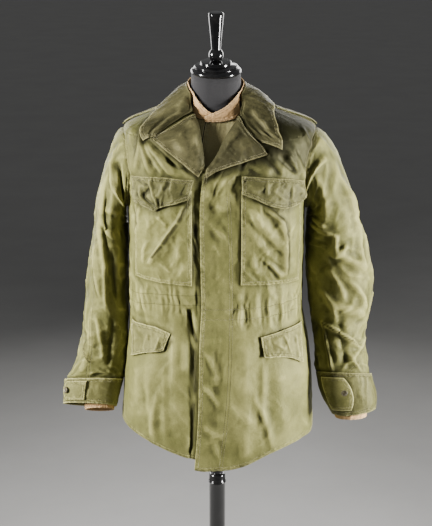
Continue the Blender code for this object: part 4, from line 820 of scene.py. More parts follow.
def carried(name, mesh, material):
    """A smooth mesh as a piece of the one body."""
    mesh.shade_smooth()
    mesh.materials.append(material)
    piece = put(name, mesh)
    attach(piece, "root")
    return piece


def new_piece(name, bm, material):
    mesh = bpy.data.meshes.new(name)
    bm.to_mesh(mesh)
    bm.free()
    return carried(name, mesh, material)


# ---------------- fronts and back

PUCKER_HEIGHT = 0.0013
PUCKER_LENGTH = 0.015
# Painted shade over the shoulders, on the flaps and on the straps, which face up: how much darker each is
# painted.
YOKE_SHADES = {"front_left": 1.35, "front_right": 0.55, "back": 0.45}
YOKE_FOOT, YOKE_TOP = 1.16, 1.26
FLAP_SHADE = 0.62
STRAP_SHADE = 0.6
# Height of the waist's lower row of stitches by x.
WAIST_LEFT = smooth_curve((-0.07, 0.11, 0.21), (0.867, 0.872, 0.88))
WAIST_RIGHT = smooth_curve((-0.2, -0.107, 0.04), (0.892, 0.902, 0.902))
WAIST_BACK = smooth_curve((-0.22, 0.0, 0.22), (0.892, 0.886, 0.88))
FLY_ROW_TOP = 1.172
# The fly's row of stitches, by height and x.
FLY_ROW = smooth_curve((0.52, 0.563, 0.687, 0.81, 0.915, 1.095, 1.17),
                       (0.006, 0.011, 0.023, 0.028, 0.029, 0.025, 0.021))
# Narrow gaps and deep folds that no light reaches, by their ends and half width.
# Columns: x0, z0, x1, z1, half_width. On the sleeves the places are taken round and down.
SLITS = {
    "front_right": in_metres((
        (-55, 1140, -56, 955, 2.4), (-49, 1100, -45, 1014, 4.5), (-67, 890, -46, 810, 4),
        (-51, 800, -52, 690, 4.5), (-54, 676, -58, 560, 4), (-104, 822, -119, 792, 5),
    )),
    "front_left": in_metres((
        (52, 1160, 52, 955, 2.4), (97.5, 823, 104.5, 780, 3.2),
    )),
    "chest_pocket_right": in_metres((
        (-53, 1166, -88, 1099, 5.8), (-88, 1099, -123, 1045, 5), (-123, 1045, -144, 1014, 3.4),
    )),
    "sleeve_right": in_metres((
        (162.2, 452.6, 121.4, 520.8, 2.2), (160, 447, 154, 480, 1.8),
    )),
    "sleeve_left": in_metres((
        (60.1, 458.8, 71.5, 614, 3), (53.3, 452.6, 150.9, 520.8, 1.6),
    )),
    "chest_pocket_left": in_metres((
        (110, 1140, 148, 1100, 4.6), (148, 1100, 155.5, 1055, 5.2), (155.5, 1055, 158, 975, 4.6),
    )),
}


SLIT_DARKNESS = 0.85


def slit_darkness(slits, x, z):
    """1 along each slit, falling to 0 beside it and towards its ends."""
    dark = np.zeros(np.broadcast(x, z).shape)
    for x0, z0, x1, z1, half_width in slits:
        along, across = beside_line(x, z, x0, z0, x1, z1)
        across = np.abs(across)
        ends = smooth_step(-0.06, 0.1, along) * smooth_step(1.06, 0.9, along)
        dark = np.maximum(dark, ends * smooth_step(half_width * 1.5, half_width * 0.4, across))
    return SLIT_DARKNESS * dark


SKIRT_ROWS = 92
ARMHOLE_ROWS = 54
YOKE_ROWS = 30


def panel_levels():
    """Rows of a panel: even in the skirt and the yoke, close together at both ends of the armhole."""
    share = 0.5 - 0.5 * np.cos(np.pi * np.arange(ARMHOLE_ROWS + 1) / ARMHOLE_ROWS)
    skirt = np.linspace(0.0, UNDERARM, SKIRT_ROWS, endpoint=False)
    yoke = np.linspace(SHOULDER_TIP, NECKLINE, YOKE_ROWS + 1)[1:]
    return np.concatenate([skirt, UNDERARM + (SHOULDER_TIP - UNDERARM) * share, yoke])


def waist_puckers(round_way, above, seed):
    """Small crinkles between and beside the waist's two rows of stitches."""
    band = smooth_step(-0.03, -0.002, above) * smooth_step(0.052, 0.026, above)
    drift = 0.9 * value_noise(round_way * 60.0, above * 40.0, seed + 30)
    depth = 0.3 + 1.1 * value_noise(round_way * 35.0, above * 28.0, seed + 31)
    rows = 1.0 - 0.5 * np.exp(-(above / 0.004) ** 2) - 0.5 * np.exp(-((above - 0.024) / 0.004) ** 2)
    return PUCKER_HEIGHT * np.cos(2.0 * np.pi * (round_way / PUCKER_LENGTH + drift)) * band * depth * rows


def beside_fly(x, angle):
    """0 on the fly's flat strip and 1 beside it and behind."""
    in_front = smooth_step(60.0, 40.0, np.abs(turn_down(angle)))
    return 1.0 - in_front * smooth_step(0.052, 0.03, x) * smooth_step(-0.085, -0.06, x)


PANEL_RADIUS = 0.19       # turns degrees round the body into metres of cloth


@dataclass
class Panel:
    """A panel of the body: where its cloth is at any angle and level, with its folds and rumples."""

    inner_edge: object
    outer_edge: object
    waist: object
    columns: int
    waves: int
    folds: tuple
    creases: tuple
    seed: int
    under: object = None

    def share(self, angle, level):
        inner = self.inner_edge(level)
        return np.clip((angle - inner) / (self.outer_edge(level) - inner), 0.0, 1.0)

    def crumple(self, angle, level, x, z):
        """The finer creases of worn cloth, which lie flatter over the shoulders."""
        loose = blend(0.35, 1.0, smooth_step(7.4, 6.5, level)) * blend(0.6, 1.0, smooth_step(1.8, 3.2, level))
        round_way = np.radians(angle) * PANEL_RADIUS
        height = crumpled("panel", round_way, z, self.seed) * loose + creased(self.creases, x, z)
        return height + waist_puckers(round_way, z - self.waist(x), self.seed) * beside_fly(x, angle)

    def height(self, angle, level, x, z):
        folds = fold_height(self.folds, x, z)
        gathers = gather_height(self.share(angle, level), self.waves, level, self.seed) * beside_fly(x, angle)
        return folds + gathers + self.crumple(angle, level, x, z)

    def surface(self, angle, level, out=0.0):
        """Points of the panel's outer face, moved out, and how high its folds are there."""
        angle, level = np.broadcast_arrays(np.asarray(angle, float), np.asarray(level, float))
        if self.under:
            middle = np.cos(np.radians(angle)) ** 2
            level = level + RIGHT_HEM_RAISE * middle * smooth_step(1.6, 0.0, level)
        plain = body_point(angle, level)
        x, z = plain[..., 0], plain[..., 2]
        height = self.height(angle, level, x, z)
        if self.under:
            hidden = self.under.height(angle, level, x, z) - FLY_STEP
            height = blend(height, hidden, smooth_step(-24.0, -18.3, angle) * smooth_step(6.6, 6.2, level))
        return plain + body_normal(angle, level) * spread(height + out), height

    def at(self, x, z, out):
        """The same for places of the front given by x and z."""
        angle, level = body_place(x, z)
        return self.surface(angle, level, out)

    def cloth(self, name):
        levels = panel_levels()
        u = evenly(self.columns + 1)[:, None]
        angle = blend(self.inner_edge(levels), self.outer_edge(levels), u)
        points, height = self.surface(angle, np.broadcast_to(levels, angle.shape))
        piece = Cloth(name, points, "lrb")
        piece.height = height
        x, z = points[..., 0], points[..., 2]
        piece.seam_across = z - self.waist(x)
        if name == "front_left":
            piece.seam_along = np.where(z < FLY_ROW_TOP, x - FLY_ROW(z), FAR)
        piece.dark = slit_darkness(SLITS.get(name, ()), x, z)
        # Painted shade over the shoulders, growing from the yoke's foot to its top.
        piece.tone = YOKE_SHADES[name] * smooth_step(YOKE_FOOT, YOKE_TOP, z)
        # Painted shadow beside the shoulder strap's front edge, on the fronts only.
        strap_shadow = smooth_step(82.0, 87.5, np.abs(turn_down(angle))) * smooth_step(7.1, 7.3, levels)
        if name != "back":
            piece.dark = np.maximum(piece.dark, 0.8 * strap_shadow * smooth_step(8.25, 8.1, levels))
        return piece


def armhole_edge(middle, way, widest):
    """A panel's edge at an armhole: how its angle goes with the level."""
    return lambda level: middle + way * armhole_half_angle(level, widest)


FRONT_COLUMNS, FRONT_GATHERS = 120, 9
BACK_COLUMNS, BACK_GATHERS = 150, 12


def make_panels():
    left = Panel(LEFT_EDGE_CURVE, armhole_edge(90.0, -1, ARMHOLE_FRONT), WAIST_LEFT,
                 FRONT_COLUMNS, FRONT_GATHERS, LEFT_FOLDS, LEFT_CREASES, 11)
    right = Panel(RIGHT_EDGE_CURVE, armhole_edge(-90.0, 1, ARMHOLE_FRONT), WAIST_RIGHT,
                  FRONT_COLUMNS, FRONT_GATHERS, RIGHT_FOLDS, RIGHT_CREASES, 37, left)
    back = Panel(armhole_edge(90.0, 1, ARMHOLE_BACK), armhole_edge(270.0, -1, ARMHOLE_BACK), WAIST_BACK,
                 BACK_COLUMNS, BACK_GATHERS, BACK_FOLDS, BACK_CREASES, 53)
    return {"left": left, "right": right, "back": back}


def lies_on(panels, angle, level, out):
    """Points out from whichever panel is at these angles, in -360 to 180 degrees."""
    turn = turn_down(angle)
    left, _ = panels["left"].surface(np.clip(turn, 0.0, 90.0), level, out)
    right, _ = panels["right"].surface(np.clip(turn, -90.0, 0.0), level, out)
    back, _ = panels["back"].surface(turn % 360.0, level, out)
    front = np.where(spread(turn > 0.0), left, right)
    behind = smooth_step(76.0, 96.0, np.abs(turn))
    return blend(front, back, spread(behind))


# ---------------- sleeves and cuffs

def tube_points(row, side, around, grow=0.0):
    """Points of a sleeve's sections; around is 0 at the inner side, 90 in front and 180 outside."""
    z, reach, y, half_width, half_depth, pitch, roll = (np.asarray(value, float) for value in row)
    roll, pitch, turn = np.radians(roll), np.radians(pitch), np.radians(around)
    across = (half_width + grow) * np.cos(turn)
    forward = (half_depth + grow) * np.sin(turn)
    return np.stack(np.broadcast_arrays(side * reach - side * np.cos(roll) * across,
                                        y - np.cos(pitch) * forward,
                                        z - np.sin(roll) * across + np.sin(pitch) * forward), axis=-1)


ARMHOLE_TUCK = 0.992


def armhole_points(side, around, out):
    """The armhole's loop, a hair inside the panels' edges."""
    turn = np.radians(around)
    level = UNDERARM + (SHOULDER_TIP - UNDERARM) * (0.5 - 0.5 * np.cos(turn) * ARMHOLE_TUCK)
    in_front = np.sin(turn) >= 0.0
    widest = np.where(in_front, ARMHOLE_FRONT, ARMHOLE_BACK)
    swing = widest * np.abs(np.sin(turn)) ** ARMHOLE_ROUNDNESS * ARMHOLE_TUCK
    angle = side * np.where(in_front, 90.0 - swing, 90.0 + swing)
    return body_point(angle, level) + body_normal(angle, level) * out


def hermite(start, start_way, end, end_way, t):
    """A curve that leaves one point and reaches another in the given ways."""
    return ((2 * t ** 3 - 3 * t ** 2 + 1) * start + (t ** 3 - 2 * t ** 2 + t) * start_way
            + (3 * t ** 2 - 2 * t ** 3) * end + (t ** 3 - t ** 2) * end_way)


SLEEVE_GIRTH_RADIUS = 0.065       # turns degrees round a sleeve into metres of cloth
SLEEVE_DROP = 0.62                # and shares of the way down
SLEEVE_COLUMNS, SLEEVE_CAP_ROWS, SLEEVE_TUBE_ROWS = 108, 48, 104
CAP_SHARE = 0.28          # the cap's share of the sleeve's length


def sleeve_fold_height(folds, down, around, bowed=False):
    """The same folds on a sleeve, laid out flat by degrees round it and shares of the way down."""
    flat = [(math.radians(row[1]) * SLEEVE_GIRTH_RADIUS, row[0] * SLEEVE_DROP,
             math.radians(row[3]) * SLEEVE_GIRTH_RADIUS, row[2] * SLEEVE_DROP, *row[4:]) for row in folds]
    return fold_height(flat, np.radians(around) * SLEEVE_GIRTH_RADIUS, down * SLEEVE_DROP, bowed)


def crumpled_round(kind, around, down, seed):
    """The crumple of a sleeve or cuff, which meets itself where the way round closes."""
    girth = np.radians(around) * SLEEVE_GIRTH_RADIUS
    length = down * SLEEVE_DROP
    whole = 2.0 * math.pi * SLEEVE_GIRTH_RADIUS
    return blend(crumpled(kind, girth, length, seed), crumpled(kind, girth - whole, length, seed),
                 smooth_step(290.0, 360.0, around))


# Where a sleeve's seam begins to show, and its degrees round the sleeve by its share of the way down.
SLEEVE_SEAMS = {
    "sleeve_right": (0.2, smooth_curve((0.0, 0.3, 0.62, 0.84, 1.0), (128.0, 128.0, 120.0, 107.0, 98.0))),
    "sleeve_left": (0.3, smooth_curve((0.0, 0.4, 0.78, 0.9, 1.0), (158.0, 162.0, 168.0, 130.0, 84.0))),
}


def make_sleeve(name, side, rows, folds, creases, seed):
    """A sleeve in one tube: its cap grows out of the armhole and runs on into the arm's sections."""
    around = np.linspace(0.0, 360.0, SLEEVE_COLUMNS + 1)[:, None]
    share = (np.arange(SLEEVE_CAP_ROWS) / SLEEVE_CAP_ROWS)[None, :]
    start = armhole_points(side, around, 0.0)
    end = tube_points(rows[0], side, around)
    top_share = 0.5 - 0.5 * np.cos(np.radians(around))
    start_way = np.stack([side * (0.045 + 0.075 * top_share), 0.0 * top_share, -0.03 * top_share], -1)
    end_way = np.stack([0.0 * top_share, 0.0 * top_share, -0.05 - 0.1 * top_share], -1)
    cap = hermite(start, start_way, end, end_way, spread(share ** 1.25))
    shares = evenly(SLEEVE_TUBE_ROWS + 1)
    tube = tube_points([curve(shares) for curve in even_curves(rows)], side, around)
    points = np.concatenate([cap, tube], axis=1)
    down = np.concatenate([CAP_SHARE * share[0], CAP_SHARE + (1.0 - CAP_SHARE) * shares])[None, :]
    middle = points * np.array([0.0, 0.3, 1.0]) + np.array([side * 0.26, 0.0, 0.0])
    held = smooth_step(0.0, 0.08, down)
    lift = sleeve_fold_height(folds, down, around) * held
    points = points + unit(points - middle) * spread(lift)
    piece = Cloth(name, points[:, ::-1], "t", wrap=True, centre=middle[:, ::-1])
    piece.height = lift[:, ::-1]
    flat_round, flat_down = np.radians(around) * SLEEVE_GIRTH_RADIUS, down * SLEEVE_DROP
    piece.dark = slit_darkness(SLITS.get(name, ()), flat_round, flat_down)[:, ::-1]
    start, seam = SLEEVE_SEAMS[name]
    beside = np.radians(around - seam(down)) * SLEEVE_GIRTH_RADIUS
    piece.seam_along = np.where(down > start, beside, FAR)[:, ::-1]
    pressed = CREASE_DEPTH * sleeve_fold_height(creases, down, around, bowed=True)
    fine = (crumpled_round("sleeve", around, down, seed) + pressed) * smooth_step(0.0, 0.06, down)
    at_cuff = blend(0.35, 1.0, smooth_step(1.0, 0.93, down))
    return piece.raise_by((fine * at_cuff)[:, ::-1])


def band_rows(rows, count):
    """The sections of a band, from its foot up, as columns of numbers."""
    shares = np.linspace(1.0, 0.0, count)
    return [curve(shares) for curve in even_curves(rows)]


CUFF_ROWS, LINER_CUFF_ROWS = 26, 14
CUFF_DROP = 0.12          # a cuff's height as a share of the sleeve's length


def make_cuff(name, side, rows, count, seed):
    around = np.linspace(0.0, 360.0, SLEEVE_COLUMNS + 1)[:, None]
    sections = band_rows(rows, count)
    points = tube_points(sections, side, around)
    centre = tube_points(sections, side, 90.0, -np.asarray(sections[4]))
    piece = Cloth(name, points, "tb", wrap=True, centre=centre[None, :])
    down = np.linspace(CUFF_DROP, 0.0, count)[None, :]
    return piece.raise_by(crumpled_round("cuff", around, down, seed) * np.ones(points.shape[:2]))


def make_cuff_tab(name, side, rows, around0, around1):
    u = evenly(34)[:, None]
    v = evenly(20)
    tip = around1 - TAB_POINT * (2.0 * v - 1.0) ** 2
    sections = [curve(blend(TAB_TOP, TAB_FOOT, 1.0 - v)) for curve in even_curves(rows)]
    points = tube_points(sections, side, blend(around0, tip, u), TAB_LAY)
    centre = tube_points(sections, side, 90.0, -np.asarray(sections[4]))
    return Cloth(name, points, "tblr", centre=centre[None, :])


# ---------------- collar and lapels

COLLAR_LAY = 0.0052       # the fall's inner face over the shoulders
COLLAR_PUFF = 0.0045      # how much the fall's middle stands off
ROLL_HALF = 0.0024
COLLAR_COLUMNS, COLLAR_ROWS = 216, 42
COLLAR_LENGTH, COLLAR_WIDTH = 0.62, 0.11
COLLAR_BASE = 0.0006      # the stand's foot over the neckline
COLLAR_FLAT_LAY = 0.004   # where there is no stand, the cloth lies this far out from the body
COLLAR_DEEPEST = -0.0022  # no crease goes deeper, or the cloth would cut what lies under it
LAPEL_COLUMNS, LAPEL_ROWS = 54, 96
LAPEL_WIDTH, LAPEL_LENGTH = 0.11, 0.17
LAPEL_DEEPEST = -0.001


def collar_stations():
    """The whole collar in one table, from the right notch round the back to the left one."""
    left = [(row[0] - 360.0, row[1], row[2], row[3] - 360.0, row[4]) for row in reversed(COLLAR_LEFT)]
    return list(COLLAR_RIGHT[:-1]) + left


def make_collar(panels):
    """Stand, roll and fall in one folded sheet; the stand fades out towards the notches."""
    stations = collar_stations()
    u = evenly(COLLAR_COLUMNS)
    inner_angle, inner_level, rise, outer_angle, outer_level = (curve(u) for curve in even_curves(stations))
    inner_level = np.minimum(inner_level, NECKLINE)
    turn = turn_down(inner_angle)
    facing = np.radians(turn)
    out_way = np.stack([np.sin(facing), -np.cos(facing), np.zeros_like(facing)], -1)
    side_way = np.stack([np.cos(facing), np.sin(facing), np.zeros_like(facing)], -1)
    up = np.array([0.0, 0.0, 1.0])
    standing = spread(smooth_step(0.002, 0.016, rise))
    base = body_point(turn, inner_level)
    normal = body_normal(turn, inner_level)
    foot = base + up * COLLAR_BASE + normal * COLLAR_FLAT_LAY * (1.0 - standing)
    top = base + up * spread(COLLAR_BASE + rise) + normal * COLLAR_FLAT_LAY * (1.0 - standing)
    end = lies_on(panels, outer_angle, outer_level, COLLAR_LAY)
    fall_way = unit(end - top)
    over = -unit(np.cross(side_way, fall_way))
    rows = [foot]
    for swing in np.linspace(0.0, math.pi, 3):
        offset = out_way * ROLL_HALF * (1.0 - math.cos(swing)) + up * ROLL_HALF * (math.sin(swing) - 1.0)
        rows.append(top + offset * standing)
    flat = [blend(foot, end, 0.012 + 0.02 * k) for k in range(4)]
    rows = [blend(flat[k], rows[k], standing) for k in range(4)]
    start = top + (out_way * 2.0 * ROLL_HALF - up * ROLL_HALF) * standing
    for row in range(6):
        share = (row + 0.6) / 5.6
        lift = COLLAR_PUFF * math.sin(math.pi * share) * (0.35 + 0.65 * standing)
        rows.append(blend(start, end, share) + over * lift)
    points = even_rows(np.stack(rows, axis=1), COLLAR_ROWS)
    piece = Cloth("collar", points, "tlr")
    length = np.linspace(0.0, COLLAR_LENGTH, COLLAR_COLUMNS)[:, None]
    width = np.linspace(0.0, COLLAR_WIDTH, COLLAR_ROWS)[None, :]
    fine = crumpled("collar", length, width, 71) + creased(COLLAR_CREASES, length, width)
    on_fall = smooth_step(0.3, 0.55, evenly(COLLAR_ROWS))[None, :]
    return piece.raise_by(np.maximum(fine, COLLAR_DEEPEST) * on_fall)


# The lapel's hidden part and roll round the front's edge.
# Columns: inward from the edge, out from the front's face.
LAPEL_ROLL = (
    (0.012, -CLOTH - 0.0012),
    (0.004, -CLOTH - 0.0012),
    (-0.0012, -CLOTH - 0.001),
    (-0.0024, -CLOTH * 0.5),
    (-0.0012, 0.001),
)


# Pieces on the front face away from this point.
BEHIND = np.array([0.0, 0.6, 1.2])


def make_lapel(name, panel, rows_table, bow, creases, seed):
    """A front's top turned back over itself: hidden part, roll, and the face that shows."""
    v = evenly(LAPEL_ROWS)
    roll_level, outer_angle, outer_level = (curve(v) for curve in even_curves(rows_table))
    roll_angle = panel.inner_edge(roll_level)
    side = 1.0 if outer_angle[-1] > roll_angle[-1] else -1.0
    roll, _ = panel.surface(roll_angle, roll_level)
    normal = body_normal(roll_angle, roll_level)
    inner, _ = panel.surface(roll_angle + side * 4.0, roll_level)
    inward = unit(inner - roll)
    rows = [roll + inward * along + normal * out for along, out in LAPEL_ROLL]
    soft = 0.0012 + 0.0045 * smooth_step(0.0, 0.4, v)
    for column in range(5):
        share = (column + 0.8) / 4.8
        angle = blend(roll_angle, outer_angle, share) - bow * v ** 4 * math.sin(math.pi * share)
        lift = LAY + CLOTH + soft * math.sin(math.pi * share) ** 0.8
        rows.append(panel.surface(angle, blend(roll_level, outer_level, share), lift)[0])
    points = even_rows(np.stack(rows, axis=1), LAPEL_COLUMNS).transpose(1, 0, 2)
    piece = Cloth(name, points, "rtb", centre=BEHIND)
    width = np.linspace(0.0, LAPEL_WIDTH, LAPEL_COLUMNS)[:, None]
    length = np.linspace(0.0, LAPEL_LENGTH, LAPEL_ROWS)[None, :]
    fine = crumpled("lapel", width, length, seed) + creased(creases, width, length)
    on_face = smooth_step(0.42, 0.62, evenly(LAPEL_COLUMNS))[:, None]
    return piece.raise_by(np.maximum(fine, LAPEL_DEEPEST) * on_face)


# ---------------- pockets, flaps and straps

POCKET_PUFF = 0.0036
POCKET_LAY = 0.0007       # more than the pieces' usual gap
FLAP_PUFF = 0.0026


def deepest(puff):
    """How far down creases may go on a piece that stands off by puff."""
    return -0.0012 - 0.7 * puff


def make_chest_pocket(name, panel, sizes, creases, seed):
    """A patch pocket whose middle stands a little off the front."""
    u, v = grid(58, 100)
    foot = blend(sizes["foot"], sizes["foot_outer"], u)
    x = blend(sizes["inner"], sizes["outer"], u) * np.ones_like(v)
    z = blend(foot, sizes["top"], v)
    edge = smooth_step(0.0, 0.14, u) * smooth_step(1.0, 0.86, u) * smooth_step(0.0, 0.12, v)
    hidden = smooth_step(0.76, 0.86, v)
    puff = POCKET_PUFF * edge * (1.0 - 0.6 * hidden)
    points, below = panel.at(x, z, LAY + POCKET_LAY + CLOTH + puff)
    piece = Cloth(name, points, "blr", centre=BEHIND)
    piece.height = below
    fine = crumpled("chest_pocket", x, z, seed) + creased(creases, x, z)
    piece.dark = slit_darkness(SLITS[name], x, z)
    relief = fine * (0.15 + 0.85 * edge) * (1.0 - 0.8 * hidden)
    return piece.raise_by(np.maximum(relief, deepest(puff)))


def make_flap(name, panel, rows_table, lay, hang, creases, seed):
    """A flap sewn along its top edge; its lower edge stands off by hang."""
    u, v = grid(62, 30)
    top_x, top_z, low_x, low_z = (curve(u) for curve in table_curves(rows_table))
    x = blend(low_x, top_x, v)
    z = blend(low_z, top_z, v)
    puff = FLAP_PUFF * smooth_step(0.0, 0.15, u) * smooth_step(1.0, 0.85, u) * smooth_step(1.0, 0.75, v)
    points, below = panel.at(x, z, lay + hang * (1.0 - v) + HEAVY_CLOTH + puff)
    piece = Cloth(name, points, "tblr", centre=BEHIND)
    piece.height = below
    fine = crumpled("flap", x, z, seed) + creased(creases, x, z)
    # Painted shade over the whole flap.
    piece.tone = np.full(x.shape, FLAP_SHADE)
    return piece.raise_by(np.maximum(fine * blend(1.0, 0.25, v ** 3), deepest(puff)))


STRAP_HALF_WIDTH = 0.023
STRAP_WIDTH, STRAP_LENGTH = 0.046, 0.09
STRAP_ANGLE = 97.0        # the strap's middle, a little behind the shoulder's ridge
STRAP_LEVELS = (7.1, 8.2)
STRAP_LAY = 0.0008


def make_shoulder_strap(name, side, seed):
    """A shoulder strap from the sleeve's seam to under the collar."""
    u, v = grid(22, 40)
    level = blend(*STRAP_LEVELS, v)
    half_angle = np.degrees(STRAP_HALF_WIDTH / BODY_CURVES[3](level))
    angle = side * (STRAP_ANGLE + half_angle * (2.0 * u - 1.0))
    out = STRAP_LAY + 0.0012 * np.sin(math.pi * v) + 0.003 * (1.0 - v) ** 4
    points = body_point(angle, level) + body_normal(angle, level) * spread(out + HEAVY_CLOTH)
    piece = Cloth(name, points, "tblr", centre=np.array([0.0, 0.0, 1.0]))
    # Painted shade over the whole strap.
    piece.tone = np.full(points.shape[:2], STRAP_SHADE)
    fine = crumpled("shoulder_strap", STRAP_WIDTH * u, STRAP_LENGTH * v, seed)
    return piece.raise_by(np.maximum(fine, -0.5 * STRAP_LAY))


# ---------------- the liner where it shows

# The tan neckband by its angle round the neck and the radius and height of its lower and upper edges.
# Columns: angle, low_radius, low_z, high_radius, high_z.
LINER_COLLAR = in_metres((
    (-19, 79.7, 1317, 75.5, 1329), (-9, 78, 1316.5, 73, 1335), (8, 77.5, 1317.5, 70.5, 1344),
    (20, 79.5, 1320, 69, 1352), (32, 82.5, 1324, 67, 1362), (43, 80, 1335, 65.5, 1371),
    (49, 71, 1348, 64.5, 1375.5), (54, 64, 1353.5, 63.5, 1379), (62, 63.2, 1359, 63.2, 1384),
    (90, 63.6, 1369, 63.6, 1398), (135, 64.5, 1376, 64.5, 1408), (180, 66.8, 1381, 66.8, 1412),
    (225, 64.5, 1376, 64.5, 1408), (270, 63.6, 1369, 63.6, 1398), (298, 63, 1360, 63, 1385),
    (306, 63.4, 1354, 63.2, 1379), (311, 69, 1348, 64.8, 1375), (316, 74.5, 1338.5, 65.5, 1370),
    (328, 78.5, 1325, 67.5, 1358), (343, 73.5, 1321.5, 70, 1343), (356, 71.5, 1321.5, 68.5, 1334),
), 1)


NECKBAND_RADIUS, NECKBAND_WIDTH = 0.07, 0.03


def make_liner_collar():
    """The tan neckband inside the collar, its left end lying over its right end."""
    angle = np.linspace(LINER_COLLAR[-1][0], LINER_COLLAR[0][0], 200)[:, None]
    v = evenly(14)[None, :]
    low_radius, low_z, high_radius, high_z = (curve(angle) for curve in table_curves(LINER_COLLAR))
    turn = np.radians(angle)
    radius = blend(low_radius, high_radius, v) + CLOTH
    points = np.stack([NECK_BASE.x + np.sin(turn) * radius, -np.cos(turn) * radius,
                       blend(low_z, high_z, v)], -1)
    piece = Cloth("liner_collar", points, "tblr", centre=np.array([0.0, 0.0, 1.36]))
    return piece.raise_by(crumpled("liner_collar", turn * NECKBAND_RADIUS, v * NECKBAND_WIDTH, 91))


LINER_LEVELS = (5.75, 8.5)
LINER_DEEPEST = -0.001


def make_liner_front(name, angles_low, angles_high, inset, seed):
    """A liner front inside the opening, on the dress form's chest."""
    u, v = grid(40, 64)
    level = blend(*LINER_LEVELS, v)
    angle = blend(blend(*angles_low, u), blend(*angles_high, u), v)
    depth = form_ease(angle, level) - inset - CLOTH
    points = body_point(angle, level) - body_normal(angle, level) * spread(depth)
    piece = Cloth(name, points, "lr", centre=BEHIND)
    fine = drapery(points[..., 0], points[..., 2], seed, (-8.0, 20.0, 50.0), 0.009, 0.003)
    return piece.raise_by(np.maximum(fine, LINER_DEEPEST))


# ---------------- materials

def node(tree, kind, **values):
    made = tree.nodes.new(kind)
    for key, value in values.items():
        setattr(made, key, value)
    return made


def link(tree, start, end):
    tree.links.new(start, end)


def fill(made, **values):
    """Sets sockets of a node by their names, with _ for each space."""
    for name, value in values.items():
        made.inputs[name.replace("_", " ")].default_value = value


def object_place(tree):
    return node(tree, "ShaderNodeTexCoord").outputs["Object"]


def math_node(tree, operation, a, b=None, clamp=False):
    made = node(tree, "ShaderNodeMath", operation=operation, use_clamp=clamp)
    for socket, value in zip(made.inputs, (a, b)):
        if value is None:
            continue
        if isinstance(value, (int, float)):
            socket.default_value = value
        else:
            link(tree, value, socket)
    return made.outputs[0]


def mix_colour(tree, factor, a, b, way="MIX"):
    made = node(tree, "ShaderNodeMix", data_type="RGBA", blend_type=way, clamp_factor=True)
    for name, value in (("Factor", factor), ("A", a), ("B", b)):
        socket = [s for s in made.inputs if s.name == name and s.type in ("VALUE", "RGBA")
                  and (s.type == "RGBA") == (name != "Factor")][0]
        if hasattr(value, "is_linked"):
            link(tree, value, socket)
        elif name == "Factor":
            socket.default_value = value
        else:
            socket.default_value = (*value, 1.0)
    return [s for s in made.outputs if s.type == "RGBA"][0]


def ramp(tree, value, low, high):
    """0 where the value is low and 1 where it is high, with a smooth way between."""
    made = node(tree, "ShaderNodeMapRange", interpolation_type="SMOOTHSTEP")
    link(tree, value, made.inputs["Value"])
    fill(made, From_Min=low, From_Max=high)
    return made.outputs["Result"]


def noise(tree, place, scale, detail, rough=0.55, twist=0.0):
    made = node(tree, "ShaderNodeTexNoise")
    link(tree, place, made.inputs["Vector"])
    fill(made, Scale=scale, Detail=detail, Roughness=rough, Distortion=twist)
    return made.outputs[0]


def relief(tree, height, strength, distance):
    """The normals of a surface that stands up and down by height."""
    bump = node(tree, "ShaderNodeBump")
    fill(bump, Strength=strength, Distance=distance)
    link(tree, height, bump.inputs["Height"])
    return bump.outputs["Normal"]


def srgb(red, green, blue):
    """A colour written as it looks on a screen, 0 to 255, as linear light."""
    return tuple((c / 255 / 12.92) if c / 255 <= 0.04045 else ((c / 255 + 0.055) / 1.055) ** 2.4
                 for c in (red, green, blue))


def attribute(tree, name):
    return node(tree, "ShaderNodeAttribute", attribute_name=name).outputs["Fac"]


# Where rows of stitches run: metres in from a piece's edge, and from the seams marked on a piece.
EDGE_ROWS = (0.003, 0.0088)
SEAM_ACROSS_ROWS = (0.0, 0.024)
SEAM_ALONG_ROWS = (0.0, 0.0064)
GROOVE_HALF_WIDTH = 0.001


def groove(tree, distance, gap):
    """1 on the line at the given distance, falling to 0 beside it."""
    off = math_node(tree, "ABSOLUTE", math_node(tree, "SUBTRACT", distance, gap))
    return ramp(tree, off, GROOVE_HALF_WIDTH, 0.25 * GROOVE_HALF_WIDTH)


DEEP_SHADE = srgb(13, 12, 7)          # where no light gets in
# How far each cause makes the cloth paler and darker: blotches and the hem as wear, patches as soil, ridges
# and bends as wear and painted highlight, troughs and hollows as painted shade, the tone mark as painted
# shade and light, and the stitch rows as sunk seams.
BLEACHED_AND_LIT = {"blotches": 0.38, "ridges": 0.16, "bends": 0.3, "hem": 0.32}
SOILED_AND_SHADED = {"patches": 0.34, "troughs": 0.18, "hollows": 0.42, "tone": 0.75, "stitching": 0.42}
# How far each stands up.
RELIEFS = {"weave": 0.16, "slubs": 0.6, "crinkles": 1.3, "hem": 1.1, "stitching": 1.3}
RIM = (0.0034, 0.0016)                # the edge that wears through, and the hem's doubled strip
HEM = (0.0115, 0.007)
FLECK_SHARE, FLECK_LEAST = 0.56, 0.72


